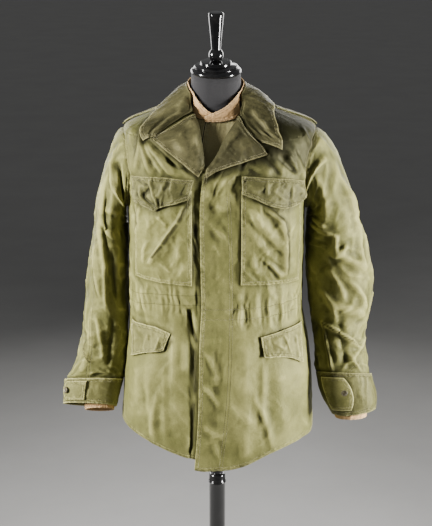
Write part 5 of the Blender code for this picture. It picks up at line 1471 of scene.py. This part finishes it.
def worn_cloth_group():
    """Shared by every cloth: fading and soiling by blotches and edges; ridges painted paler, as wear and
    highlight; troughs and hollows painted darker, as shade; painted shade and light by the tone mark; painted
    deep shade in narrow gaps; and the weave's relief.
    """
    group = bpy.data.node_groups.new("worn_cloth", "ShaderNodeTree")
    for name in ("Cloth", "Faded_and_lit", "Soiled_and_shaded"):
        group.interface.new_socket(name, in_out="INPUT", socket_type="NodeSocketColor")
    for name in ("Weave pitch", "Blotch amount", "Edge wear"):
        group.interface.new_socket(name, in_out="INPUT", socket_type="NodeSocketFloat")
    for name, kind in (("Colour", "NodeSocketColor"), ("Normal", "NodeSocketVector")):
        group.interface.new_socket(name, in_out="OUTPUT", socket_type=kind)
    source = node(group, "NodeGroupInput").outputs
    place = object_place(group)

    def times(a, b):
        return math_node(group, "MULTIPLY", a, b)

    def total(causes, shares):
        """The sum of each cause by its share, kept between 0 and 1."""
        whole = None
        for index, (cause, share) in enumerate(zip(causes, shares)):
            part = cause if share is None else times(cause, share)
            last = index == len(causes) - 1
            whole = part if whole is None else math_node(group, "ADD", whole, part, last)
        return whole

    blotches = ramp(group, noise(group, place, 11.0, 5.0, 0.65, 0.6), 0.38, 0.66)
    patches = ramp(group, noise(group, place, 34.0, 5.0, 0.65), 0.38, 0.66)
    pucker = ramp(group, noise(group, place, 150.0, 2.0, 0.5), 0.4, 0.62)
    marks = ("fade", "from_edge", "dark", "bend", "tone")
    ridge, rim, deep, bend, tone = (attribute(group, mark) for mark in marks)
    rows = [groove(group, rim, gap) for gap in EDGE_ROWS]
    rows += [groove(group, attribute(group, "seam_across"), gap) for gap in SEAM_ACROSS_ROWS]
    rows += [groove(group, attribute(group, "seam_along"), gap) for gap in SEAM_ALONG_ROWS]
    sunk = rows[0]
    for row in rows[1:]:
        sunk = math_node(group, "MAXIMUM", sunk, row)
    worn_rim = times(times(ramp(group, rim, *RIM), source["Edge wear"]),
                     ramp(group, noise(group, place, 95.0, 3.0), 0.28, 0.5))
    hemmed = ramp(group, rim, *HEM)
    # Paler: blotches, the hem's puckers and the rim as wear, ridges and bends as wear and painted highlight.
    # Darker: patches as soil, troughs and hollows as painted shade, the tone mark as painted shade and light,
    # and the stitch rows as sunk seams.
    paler = total((times(blotches, source["Blotch amount"]), ramp(group, ridge, 0.2, 2.4),
                   ramp(group, bend, 0.2, 2.2), times(hemmed, pucker), worn_rim), (*BLEACHED_AND_LIT.values(), None))
    deeper = total((times(patches, source["Blotch amount"]), ramp(group, ridge, -0.2, -2.4),
                    ramp(group, bend, -0.2, -2.2), tone, sunk), tuple(SOILED_AND_SHADED.values()))
    colour = mix_colour(group, paler, source["Cloth"], source["Faded_and_lit"])
    colour = mix_colour(group, deeper, colour, source["Soiled_and_shaded"])
    # Painted deep shade from the dark mark: in narrow gaps, beside pieces that lie on others and beside the
    # straps.
    colour = mix_colour(group, deep, colour, DEEP_SHADE)
    speck = math_node(group, "ADD", times(noise(group, place, 420.0, 2.0, 0.6), FLECK_SHARE), FLECK_LEAST)
    grey = node(group, "ShaderNodeCombineColor")
    for socket in grey.inputs[:3]:
        link(group, speck, socket)
    colour = mix_colour(group, 1.0, colour, grey.outputs[0], "MULTIPLY")

    weave = node(group, "ShaderNodeTexWave", wave_type="BANDS", bands_direction="DIAGONAL")
    link(group, node(group, "ShaderNodeUVMap", uv_map="cloth_m").outputs["UV"], weave.inputs["Vector"])
    link(group, source["Weave pitch"], weave.inputs["Scale"])
    fill(weave, Distortion=1.2, Detail=1.0)
    height = times(weave.outputs["Fac"], RELIEFS["weave"])
    for cause, share in ((noise(group, place, 260.0, 4.0, 0.7), RELIEFS["slubs"]),
                         (noise(group, place, 80.0, 4.0, 0.6, 0.8), RELIEFS["crinkles"]),
                         (times(hemmed, pucker), RELIEFS["hem"])):
        height = math_node(group, "ADD", height, times(cause, share))
    height = math_node(group, "SUBTRACT", height, times(sunk, RELIEFS["stitching"]))
    output = node(group, "NodeGroupOutput")
    link(group, colour, output.inputs["Colour"])
    link(group, relief(group, height, 0.6, 0.0011), output.inputs["Normal"])
    return group


def new_material(name):
    material = bpy.data.materials.new(name)
    material.use_nodes = True
    tree = material.node_tree
    return material, tree, tree.nodes["Principled BSDF"]


def cloth_finish(name, group, cloth, faded_and_lit, soiled_and_shaded, weave=330.0, blotch=0.5, edge=1.0, rough=0.5,
                 sheen=0.04):
    material, tree, shader = new_material(name)
    worn = node(tree, "ShaderNodeGroup", node_tree=group)
    for key, colour in (("Cloth", cloth), ("Faded_and_lit", faded_and_lit), ("Soiled_and_shaded", soiled_and_shaded)):
        worn.inputs[key].default_value = (*colour, 1.0)
    fill(worn, Weave_pitch=weave, Blotch_amount=blotch, Edge_wear=edge)
    link(tree, worn.outputs["Colour"], shader.inputs["Base Color"])
    link(tree, worn.outputs["Normal"], shader.inputs["Normal"])
    fill(shader, Roughness=rough, Sheen_Weight=sheen, Sheen_Roughness=0.45, Specular_IOR_Level=0.5,
         Specular_Tint=(*faded_and_lit, 1.0), Sheen_Tint=(*faded_and_lit, 1.0))
    return material


def gloss_black():
    """Black stove enamel over turned wood and iron, with faint dust and small dents."""
    material, tree, shader = new_material("black_enamel")
    place = object_place(tree)
    dust = ramp(tree, noise(tree, place, 38.0, 4.0, 0.6), 0.45, 0.8)
    link(tree, mix_colour(tree, dust, srgb(11, 11, 12), srgb(30, 29, 28)), shader.inputs["Base Color"])
    rough = math_node(tree, "ADD", math_node(tree, "MULTIPLY", dust, 0.16), 0.13)
    link(tree, rough, shader.inputs["Roughness"])
    dents = noise(tree, place, 55.0, 2.0, 0.5)
    link(tree, relief(tree, dents, 0.25, 0.0006), shader.inputs["Normal"])
    fill(shader, Coat_Weight=0.6, Coat_Roughness=0.08)
    return material


def jersey():
    """The dress form's dark stretched jersey, with fine upright wales."""
    material, tree, shader = new_material("form_jersey")
    place = object_place(tree)
    wales = node(tree, "ShaderNodeTexWave", wave_type="BANDS", bands_direction="X")
    link(tree, place, wales.inputs["Vector"])
    fill(wales, Scale=230.0, Distortion=1.5)
    tone = math_node(tree, "MULTIPLY", wales.outputs["Fac"], noise(tree, place, 300.0, 3.0, 0.7))
    link(tree, mix_colour(tree, tone, srgb(19, 18, 20), srgb(41, 39, 41)), shader.inputs["Base Color"])
    link(tree, relief(tree, tone, 0.5, 0.0005), shader.inputs["Normal"])
    fill(shader, Roughness=0.92, Sheen_Weight=0.25)
    return material


def horn():
    """Moulded button of dull olive brown, worn paler in streaks."""
    material, tree, shader = new_material("button_horn")
    streak = ramp(tree, noise(tree, object_place(tree), 240.0, 4.0, 0.6, 0.8), 0.35, 0.7)
    link(tree, mix_colour(tree, streak, srgb(62, 56, 40), srgb(104, 96, 70)), shader.inputs["Base Color"])
    link(tree, relief(tree, streak, 0.3, 0.0003), shader.inputs["Normal"])
    fill(shader, Roughness=0.42)
    return material


def thread(name, pale, deep):
    material, tree, shader = new_material(name)
    shade = ramp(tree, noise(tree, object_place(tree), 160.0, 3.0), 0.35, 0.65)
    link(tree, mix_colour(tree, shade, pale, deep), shader.inputs["Base Color"])
    fill(shader, Roughness=0.75)
    return material


# The cloths: material, then plain colour, the colour that wear and painted highlight lean to, the colour that
# soil and painted shade lean to, and what differs from the usual cotton.
CLOTH_FINISHES = {
    "sateen": ("olive_sateen", (102, 102, 58), (174, 170, 108), (38, 38, 23), {"edge": 0.3}),
    "doubled": ("olive_sateen_doubled", (98, 97, 56), (180, 176, 116), (36, 36, 22), {"blotch": 0.7}),
    # The collar's colours are the sateen's painted darker, as shade on the collar and the lapels, which face
    # up.
    "collar": ("olive_collar_shaded", (61, 59, 38), (140, 134, 92), (24, 23, 15), {"blotch": 0.8, "edge": 1.2}),
    # The liner's colours are painted paler than its olive cloth, as light in the shaded opening.
    "liner": ("liner_poplin", (146, 138, 96), (186, 178, 134), (88, 82, 54), {"weave": 420.0}),
    "tan": ("tan_wool", (198, 160, 112), (216, 182, 136), (152, 118, 76),
            {"weave": 260.0, "blotch": 0.6, "rough": 0.95, "sheen": 0.4}),
}


def make_finishes():
    worn = worn_cloth_group()
    cloths = {key: cloth_finish(name, worn, srgb(*plain), srgb(*faded_and_lit), srgb(*soiled_and_shaded), **more)
              for key, (name, plain, faded_and_lit, soiled_and_shaded, more) in CLOTH_FINISHES.items()}
    return cloths | {
        "enamel": gloss_black(), "jersey": jersey(), "button": horn(),
        "thread": thread("olive_thread", srgb(204, 197, 158), srgb(164, 156, 116)),
        "tan_thread": thread("tan_thread", srgb(196, 168, 128), srgb(150, 124, 88)),
    }


# ---------------- dress form and stand

FORM_COLUMNS = 144
# The neck's rings, by height over its foot and radius.
NECK_RINGS = ((0.014, 0.059), (0.03, 0.0578), (0.046, 0.0573), (NECK_HEIGHT, 0.0572))


def make_form(finish):
    """The smooth torso and neck, closed underneath and under the cap."""
    columns = FORM_COLUMNS
    angle = turn_down(np.linspace(0.0, 360.0, columns, endpoint=False))[:, None]
    level = np.concatenate([np.linspace(1.45, 7.0, 60), np.linspace(7.05, 8.9, 34)])[None, :]
    body = body_point(angle, level) - body_normal(angle, level) * spread(form_ease(angle, level))
    body[..., 2] = np.maximum(body[..., 2], FORM_BOTTOM + 0.004)
    lean = Matrix.Rotation(NECK_LEAN, 3, "X")
    turn = np.radians(angle[:, 0])
    rings = [body]
    for height, radius in NECK_RINGS:
        round_neck = np.stack([radius * np.sin(turn), -radius * np.cos(turn), np.full(columns, height)], -1)
        rings.append((round_neck @ np.array(lean).T + np.array(NECK_BASE))[:, None])
    points = np.concatenate(rings, axis=1)
    bm = bmesh.new()
    loops = [[bm.verts.new(points[k, row]) for k in range(columns)] for row in range(points.shape[1])]
    for low, high in zip(loops, loops[1:]):
        for k in range(columns):
            after = (k + 1) % columns
            bm.faces.new((low[k], low[after], high[after], high[k]))
    bm.faces.new(list(reversed(loops[0])))
    bm.faces.new(loops[-1])
    bmesh.ops.recalc_face_normals(bm, faces=bm.faces[:])
    return new_piece("dress_form_torso", bm, finish)


def turned(profile, segments=64):
    """A solid turned about Z from (radius, height) pairs that start and end on the axis."""
    bm = bmesh.new()
    verts = [bm.verts.new((radius, 0.0, height)) for radius, height in profile]
    for first, second in zip(verts, verts[1:]):
        bm.edges.new((first, second))
    bmesh.ops.spin(bm, geom=bm.verts[:] + bm.edges[:], cent=(0.0, 0.0, 0.0), axis=(0.0, 0.0, 1.0),
                   angle=2.0 * math.pi, steps=segments, use_merge=True)
    bmesh.ops.remove_doubles(bm, verts=bm.verts[:], dist=SAME_PLACE)
    bmesh.ops.recalc_face_normals(bm, faces=bm.faces[:])
    return bm


def arc(centre_radius, centre_height, radius, start, end, steps):
    """Points of a round part of a profile, by degrees from the outward direction."""
    turns = [math.radians(blend(start, end, k / steps)) for k in range(steps + 1)]
    return [(centre_radius + radius * math.cos(t), centre_height + radius * math.sin(t)) for t in turns]


def smooth_profile(points, count):
    """A turned profile's run with more points, through the given ones."""
    return [tuple(p) for p in even_rows(np.array(points)[None], count)[0]]


SHARP_ANGLE = math.radians(32.0)


def finish_turned(name, bm, place, finish):
    bmesh.ops.transform(bm, matrix=place, verts=bm.verts[:])
    piece = new_piece(name, bm, finish)
    piece.data.set_sharp_from_angle(angle=SHARP_ANGLE)
    return piece


def make_neck_cap(finish):
    rim = 0.0585
    profile = ([(0.0, 0.0), (rim - 0.006, 0.0)] + arc(rim - 0.0055, 0.0055, 0.0055, -80.0, 80.0, 14)
               + arc(0.0515, 0.014, 0.0012, 200.0, 90.0, 4) + [(0.0502, 0.016)]
               + arc(0.048, 0.0165, 0.0018, 0.0, 90.0, 6) + [(0.0392, 0.0196)]
               + arc(0.0374, 0.022, 0.0014, 250.0, 180.0, 4) + [(0.036, 0.0245)]
               + arc(0.0335, 0.025, 0.0024, 0.0, 90.0, 6) + [(0.013, 0.029), (0.0, 0.029)])
    return finish_turned("turned_neck_cap", turned(profile), neck_place(NECK_HEIGHT + FIT), finish)


def neck_place(height):
    lean = Matrix.Rotation(NECK_LEAN, 4, "X")
    return Matrix.Translation(NECK_BASE) @ lean @ Matrix.Translation((0.0, 0.0, height))


def make_finial(finish):
    ball, ball_height, grip_top, rounding = 0.017, 0.0423, 0.1405, 0.005
    grip_radius, foot = 0.0178, 0.0293
    grip = smooth_profile([(0.0109, 0.058), (0.013, 0.085), (0.0157, 0.113),
                           (grip_radius, grip_top - rounding)], 24)
    profile = ([(0.0, foot), (0.0085, foot)] + arc(0.0, ball_height, ball, -48.0, 50.0, 26) + grip
               + arc(grip_radius - rounding, grip_top - rounding, rounding, 0.0, 90.0, 8)
               + [(0.0, grip_top)])
    return finish_turned("turned_finial", turned(profile), neck_place(NECK_HEIGHT + FIT), finish)


ROD_RADIUS = 0.0125
TUBE_RADIUS = 0.02
TUBE_TOP = 0.429
ROD_DEPTH = 0.06
BASE_RADIUS = 0.18
BASE_THICKNESS = 0.012
SOCKET_RADIUS = 0.034
SOCKET_TOP = 0.045


def make_stand(finish):
    upright = Matrix.Identity(4)
    rod_foot, rod_top = TUBE_TOP - ROD_DEPTH, FORM_BOTTOM - FIT
    rod = [(0.0, rod_foot), (ROD_RADIUS, rod_foot), (ROD_RADIUS, rod_top), (0.0, rod_top)]
    finish_turned("sliding_rod", turned(rod), upright, finish)
    bore = ROD_RADIUS + FIT
    foot = BASE_THICKNESS + FIT
    tube = ([(0.0, foot), (TUBE_RADIUS, foot), (TUBE_RADIUS, TUBE_TOP - 0.0262)]
            + arc(TUBE_RADIUS - 0.0002, TUBE_TOP - 0.0225, 0.0024, -60.0, 60.0, 8)
            + [(TUBE_RADIUS, TUBE_TOP - 0.0188)]
            + arc(TUBE_RADIUS - 0.006, TUBE_TOP - 0.006, 0.006, 0.0, 90.0, 10)
            + [(bore, TUBE_TOP), (bore, rod_foot - FIT), (0.0, rod_foot - FIT)])
    finish_turned("pole_tube", turned(tube), upright, finish)
    socket = TUBE_RADIUS + FIT
    base = ([(0.0, 0.0)] + arc(BASE_RADIUS - 0.003, 0.003, 0.003, -90.0, 30.0, 8)
            + [(BASE_RADIUS - 0.03, BASE_THICKNESS - 0.003)]
            + smooth_profile([(SOCKET_RADIUS + 0.09, 0.011), (SOCKET_RADIUS + 0.04, 0.0128),
                              (SOCKET_RADIUS + 0.012, 0.0155), (SOCKET_RADIUS, 0.0205)], 24)
            + [(SOCKET_RADIUS - 0.002, SOCKET_TOP - 0.004)]
            + arc(SOCKET_RADIUS - 0.006, SOCKET_TOP - 0.004, 0.004, 0.0, 90.0, 6)
            + [(socket, SOCKET_TOP), (socket, BASE_THICKNESS), (0.0, BASE_THICKNESS)])
    finish_turned("cast_base", turned(base, 96), upright, finish)


# ---------------- sewing the jacket together


FINISHES = make_finishes()


def sewn(piece, name, finish, sides, more):
    """Builds a piece of cloth in the place of its solid and sews it."""
    slot, thickness = CLOTH_SLOTS[finish]
    made = piece.build(FINISHES[finish], thickness)
    made.name = name
    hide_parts(piece.name)
    lines = [line_inside(piece, side, gap) for side in sides for gap in EDGE_ROWS] + list(more)
    thread_finish = FINISHES["tan_thread" if finish == "tan" else "thread"]
    sewing = stitches(f"{name}_stitches", lines, thread_finish) if lines else None


def seam_rows(piece):
    """The sewing inside a piece: the waist's two rows, the fly's, and a sleeve's."""
    rows = [line_where(piece, piece.seam_across, gap, by_column=False) for gap in SEAM_ACROSS_ROWS]
    rows += [line_where(piece, piece.seam_along, gap) for gap in SEAM_ALONG_ROWS]
    return [row for row in rows if len(row[0]) > FEWEST_POINTS]


# Where one piece shades another: the piece below, the piece above, its edges, reach and strength.
SHADES = (
    ("front_right", "collar", "tlr", 0.022, 0.85), ("front_left", "collar", "tlr", 0.026, 0.9),
    ("back", "collar", "t", 0.014, 0.6), ("liner_collar", "collar", "b", 0.01, 0.5),
    ("lapel_right", "collar", "tl", 0.013, 0.8), ("lapel_left", "collar", "tr", 0.015, 0.85),
    ("front_right", "lapel_right", "rt", 0.017, 0.8), ("front_left", "lapel_left", "rt", 0.019, 0.85),
    ("front_left", "chest_pocket_left", "br", 0.009, 0.6),
    ("front_left", "chest_pocket_left", "l", 0.011, 0.9),
    ("front_right", "chest_pocket_right", "blr", 0.009, 0.6),
    ("front_right", "chest_pocket_right", "r", 0.009, 0.8),
    ("front_right", "lower_flap_right", "tbr", 0.012, 0.8),
    ("front_left", "lower_flap_left", "tbl", 0.012, 0.8),
    ("front_right", "front_left", "l", 0.01, 0.85),
    ("sleeve_left", "back", "r", 0.01, 0.45), ("sleeve_right", "back", "l", 0.01, 0.45),
)
# The same for the pieces that come in pairs, where {0} is the side.
PAIRED_SHADES = (
    ("front_{0}", "chest_flap_{0}", "tblr", 0.013, 0.75),
    ("chest_pocket_{0}", "chest_flap_{0}", "b", 0.019, 0.85),
    ("sleeve_{0}", "front_{0}", "r", 0.012, 0.55), ("sleeve_{0}", "cuff_{0}", "t", 0.012, 0.7),
    ("cuff_{0}", "cuff_tab_{0}", "tbr", 0.01, 0.75), ("back", "shoulder_strap_{0}", "tblr", 0.008, 0.6),
    ("front_{0}", "shoulder_strap_{0}", "tblr", 0.012, 0.8),
)
# What the solids of each cloth have as their material slot, and how thick it is.
CLOTH_SLOTS = {
    "sateen": ("olive_sateen", CLOTH), "doubled": ("olive_sateen", HEAVY_CLOTH),
    "collar": ("olive_sateen_collar", CLOTH), "liner": ("liner_poplin", CLOTH),
    "tan": ("tan_liner_wool", CLOTH),
}
# How each piece is made up: its name here, its cloth, what it rests on, and which edges are stitched.
MAKE_UP = {
    "front_left": ("jacket_front_left", "sateen", "form_torso", "lrb"),
    "front_right": ("jacket_front_right", "sateen", "form_torso", "lrb"),
    "back": ("jacket_back", "sateen", "form_torso", "lrb"),
    "collar": ("collar_stand_and_fall", "collar", "form_torso", "tlr"),
    "lapel_left": ("lapel_left_turned", "collar", "form_torso", "rt"),
    "lapel_right": ("lapel_right_turned", "collar", "form_torso", "rt"),
    "liner_collar": ("liner_neckband", "tan", "form_torso", "b"),
    "liner_front_left": ("liner_placket_left", "liner", "form_torso", "l"),
    "liner_front_right": ("liner_placket_right", "liner", "form_torso", ""),
}
PAIRED_MAKE_UP = {
    "sleeve_{0}": ("sleeve_{0}_cloth", "sateen", "front_{0}", "t"),
    "cuff_{0}": ("cuff_{0}_band", "doubled", "sleeve_{0}", "tb"),
    "liner_cuff_{0}": ("liner_cuff_{0}_end", "tan", "sleeve_{0}", "b"),
    "cuff_tab_{0}": ("cuff_tab_{0}_end", "doubled", "cuff_{0}", "tbr"),
    "chest_pocket_{0}": ("chest_pocket_{0}_patch", "sateen", "front_{0}", "blr"),
    "chest_flap_{0}": ("chest_flap_{0}_cloth", "doubled", "front_{0}", "tblr"),
    "lower_flap_{0}": ("lower_flap_{0}_cloth", "doubled", "front_{0}", "tblr"),
    "shoulder_strap_{0}": ("shoulder_strap_{0}_cloth", "doubled", "back", "tblr"),
}


def for_side(value, side):
    """A name for one side of the jacket; sizes stay as they are."""
    return value.format(side) if isinstance(value, str) else value


for side_name in ("left", "right"):
    SHADES += tuple(tuple(for_side(value, side_name) for value in row) for row in PAIRED_SHADES)
    MAKE_UP |= {solid.format(side_name): tuple(value.format(side_name) for value in row)
                for solid, row in PAIRED_MAKE_UP.items()}


# Painted shade over a whole piece, darker than its neighbours; with a minus it is painted light, paler.
PIECE_LIGHT_AND_SHADE = {
    "lapel_left": 0.4, "cuff_left": 0.45, "cuff_right": -0.45, "lower_flap_left": -0.5,
    "lower_flap_right": -0.5, "chest_pocket_right": -0.45, "liner_front_left": -0.4,
}


def make_cloths():
    """Every piece of cloth, as grids of points by the name of its solid."""
    panels = make_panels()
    cloths = [panels["left"].cloth("front_left"), panels["right"].cloth("front_right"),
              panels["back"].cloth("back"), make_collar(panels),
              make_lapel("lapel_right", panels["right"], LAPEL_RIGHT, 0.0, LAPEL_RIGHT_CREASES, 151),
              make_lapel("lapel_left", panels["left"], LAPEL_LEFT, GORGE_BOW, LAPEL_LEFT_CREASES, 157)]
    sleeves = {"left": (1, SLEEVE_LEFT, SLEEVE_LEFT_FOLDS, SLEEVE_LEFT_CREASES, CUFF_LEFT, LINER_CUFF_LEFT,
                        (34.0, 96.0), 101),
               "right": (-1, SLEEVE_RIGHT, SLEEVE_RIGHT_FOLDS, SLEEVE_RIGHT_CREASES, CUFF_RIGHT,
                         LINER_CUFF_RIGHT, (100.0, 160.0), 131)}
    for side, (way, rows, folds, creases, cuff, liner, tab, seed) in sleeves.items():
        cloths += [make_sleeve(f"sleeve_{side}", way, rows, folds, creases, seed),
                   make_cuff(f"cuff_{side}", way, cuff, CUFF_ROWS, seed + 40),
                   make_cuff(f"liner_cuff_{side}", way, liner, LINER_CUFF_ROWS, seed + 50),
                   make_cuff_tab(f"cuff_tab_{side}", way, cuff, *tab)]
    flaps = {"chest_flap": (CHEST_FLAP_RIGHT, CHEST_FLAP_LEFT, 0.0051, 0.003),
             "lower_flap": (LOWER_FLAP_RIGHT, LOWER_FLAP_LEFT, 0.0024, 0.0028)}
    for side, way, seed in (("right", -1, 171), ("left", 1, 191)):
        cloths += [make_chest_pocket(f"chest_pocket_{side}", panels[side], CHEST_POCKETS[side],
                                     POCKET_CREASES[side], seed),
                   make_shoulder_strap(f"shoulder_strap_{side}", way, seed + 11)]
        for kind, (right_rows, left_rows, lay, hang) in flaps.items():
            table = right_rows if side == "right" else left_rows
            cloths.append(make_flap(f"{kind}_{side}", panels[side], table, lay, hang,
                                    FLAP_CREASES[f"{kind}_{side}"], seed + 7))
    cloths += [make_liner_collar(),
               make_liner_front("liner_front_left", (-20.0, 8.0), (-17.0, 56.0), 0.0018, 211),
               make_liner_front("liner_front_right", (-34.0, -21.0), (-56.0, -18.0), 0.0013, 217)]
    # Painted light and shade over whole pieces.
    for cloth in cloths:
        cloth.tone = cloth.tone + PIECE_LIGHT_AND_SHADE.get(cloth.name, 0.0)
    return {cloth.name: cloth for cloth in cloths}


def make_jacket():
    cloths = make_cloths()
    for below, above, edges, reach, strength in SHADES:
        cloths[below].darken_beside(cloths[above].edge(edges), reach, strength)
    for name, cloth in cloths.items():
        title, finish, rests_on, edges = MAKE_UP[name]
        rows = seam_rows(cloth) if rests_on == "form_torso" or name.startswith("sleeve") else []
        sewn(cloth, title, finish, edges, rows)


# ---------------- buttons

HOLE_RADIUS = 0.0007
HOLE_SPACING = 0.0014     # from the button's middle, both ways
# By side: its sign, its cuff, the button's degrees round it, and how far out it sits.
BUTTON_SPOTS = {
    "right": (-1, CUFF_RIGHT, 144.0, 0.0018),
    "left": (1, CUFF_LEFT, 80.0, 0.0008),
}


def make_button(side, finish):
    """A cuff's button, lying on its tab."""
    way, rows, around, lay = BUTTON_SPOTS[side]
    row = [curve(0.5) for curve in even_curves(rows)]
    place = tube_points(row, way, around, TAB_LAY + lay)
    facing = Vector(tube_points(row, way, around, 1.0) - tube_points(row, way, around, 0.0))
    radius, top, floor = BUTTON_RADIUS, BUTTON_THICKNESS, BUTTON_THICKNESS * 0.66
    profile = ([(0.0, 0.0), (radius - 0.0006, 0.0)] + arc(radius - 0.0008, 0.0008, 0.0008, -70.0, 0.0, 4)
               + arc(radius - 0.001, top - 0.001, 0.001, 0.0, 110.0, 6)
               + [(radius * 0.62, top * 0.72), (radius * 0.56, floor), (0.0, floor)])
    bm = turned(profile, 32)
    for x, y in ((1, 1), (-1, 1), (1, -1), (-1, -1)):
        spot = Matrix.Translation((x * HOLE_SPACING, y * HOLE_SPACING, floor + 0.0001))
        bmesh.ops.create_cone(bm, cap_ends=True, segments=10, radius1=HOLE_RADIUS, radius2=HOLE_RADIUS,
                              depth=0.0006, matrix=spot)
    turn = Vector((0.0, 0.0, 1.0)).rotation_difference(facing.normalized()).to_matrix().to_4x4()
    bmesh.ops.transform(bm, matrix=Matrix.Translation(place) @ turn, verts=bm.verts[:])
    piece = new_piece(f"cuff_button_{side}_turned", bm, finish)
    piece.data.set_sharp_from_angle(angle=math.radians(35.0))
    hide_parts(f"cuff_button_{side}")
    return piece


# ---------------- floor, light and camera

def stage_finish(name, colour):
    material, tree, shader = new_material(name)
    tone = ramp(tree, noise(tree, object_place(tree), 2.6, 6.0, 0.62), 0.25, 0.75)
    darker = tuple(part * 0.92 for part in colour)
    link(tree, mix_colour(tree, tone, colour, darker), shader.inputs["Base Color"])
    fill(shader, Roughness=0.9)
    return material


FLOOR_REACH = 40.0


def make_stage():
    """A plain floor that runs past the frame on every side."""
    bm = bmesh.new()
    bmesh.ops.create_grid(bm, x_segments=1, y_segments=1, size=FLOOR_REACH)
    mesh = bpy.data.meshes.new("floor")
    bm.to_mesh(mesh)
    bm.free()
    mesh.materials.append(stage_finish("grey_paper", srgb(160, 159, 157)))
    floor = put("floor", mesh)


# Columns: name, place, aim, width, height, watts, warmth (a multiple of blue), spread in degrees.
LAMPS = (
    ("lamp_left", (2.3, -0.6, 0.9), (0.1, 0.0, 0.9), 0.4, 1.0, 43.0, 0.98, 75.0),
    ("lamp_right", (-2.3, -0.85, 1.55), (-0.1, 0.0, 1.0), 0.4, 1.0, 43.0, 0.98, 75.0),
    ("lamp_back_left", (1.3, 2.6, 1.7), (0.0, 0.0, 1.0), 2.2, 1.8, 17.0, 0.98, 100.0),
    ("lamp_back_right", (-1.6, 2.4, 1.5), (0.0, 0.0, 1.0), 2.2, 1.8, 17.0, 0.98, 100.0),
)


def make_lamps():
    for name, place, aim, width, height, watts, warmth, spread_angle in LAMPS:
        lamp = bpy.data.lights.new(name, "AREA")
        lamp.shape = "RECTANGLE"
        lamp.size = width
        lamp.size_y = height
        lamp.energy = watts
        lamp.spread = math.radians(spread_angle)
        lamp.color = (1.0, 0.5 + 0.5 * warmth, warmth)
        holder = put(name, lamp)
        way = Vector(aim) - Vector(place)
        holder.matrix_world = Matrix.Translation(place) @ way.to_track_quat("-Z", "Y").to_matrix().to_4x4()
    world = bpy.data.worlds.new("soft_room")
    world.use_nodes = True
    fill(world.node_tree.nodes["Background"], Color=(0.98, 0.99, 1.0, 1.0), Strength=0.16)
    bpy.context.scene.world = world


CAMERA_PLACE = Vector((0.0, -3.2, 1.8))
CAMERA_AIM = Vector((-0.003, -0.13, 1.0))
FOCAL_PIXELS = 1385.0
FRAME_PIXELS = 526.0


def make_camera():
    camera = bpy.data.cameras.new("camera")
    camera.sensor_width = 36.0
    camera.lens = FOCAL_PIXELS / FRAME_PIXELS * camera.sensor_width
    holder = put("camera", camera)
    look = (CAMERA_AIM - CAMERA_PLACE).to_track_quat("-Z", "Y")
    holder.matrix_world = Matrix.Translation(CAMERA_PLACE) @ look.to_matrix().to_4x4()
    bpy.context.scene.camera = holder


# ---------------- the whole scene

def slotted(piece, node_name):
    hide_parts(node_name)


make_camera()
make_jacket()
make_button("right", FINISHES["button"])
make_button("left", FINISHES["button"])
slotted(make_form(FINISHES["jersey"]), "form_torso")
slotted(make_neck_cap(FINISHES["enamel"]), "neck_cap")
slotted(make_finial(FINISHES["enamel"]), "finial")
make_stand(FINISHES["enamel"])
for piece_name, node_name in (("sliding_rod", "inner_rod"), ("pole_tube", "stand_tube"),
                              ("cast_base", "stand_base")):
    slotted(bpy.data.objects[piece_name], node_name)
make_stage()
make_lamps()
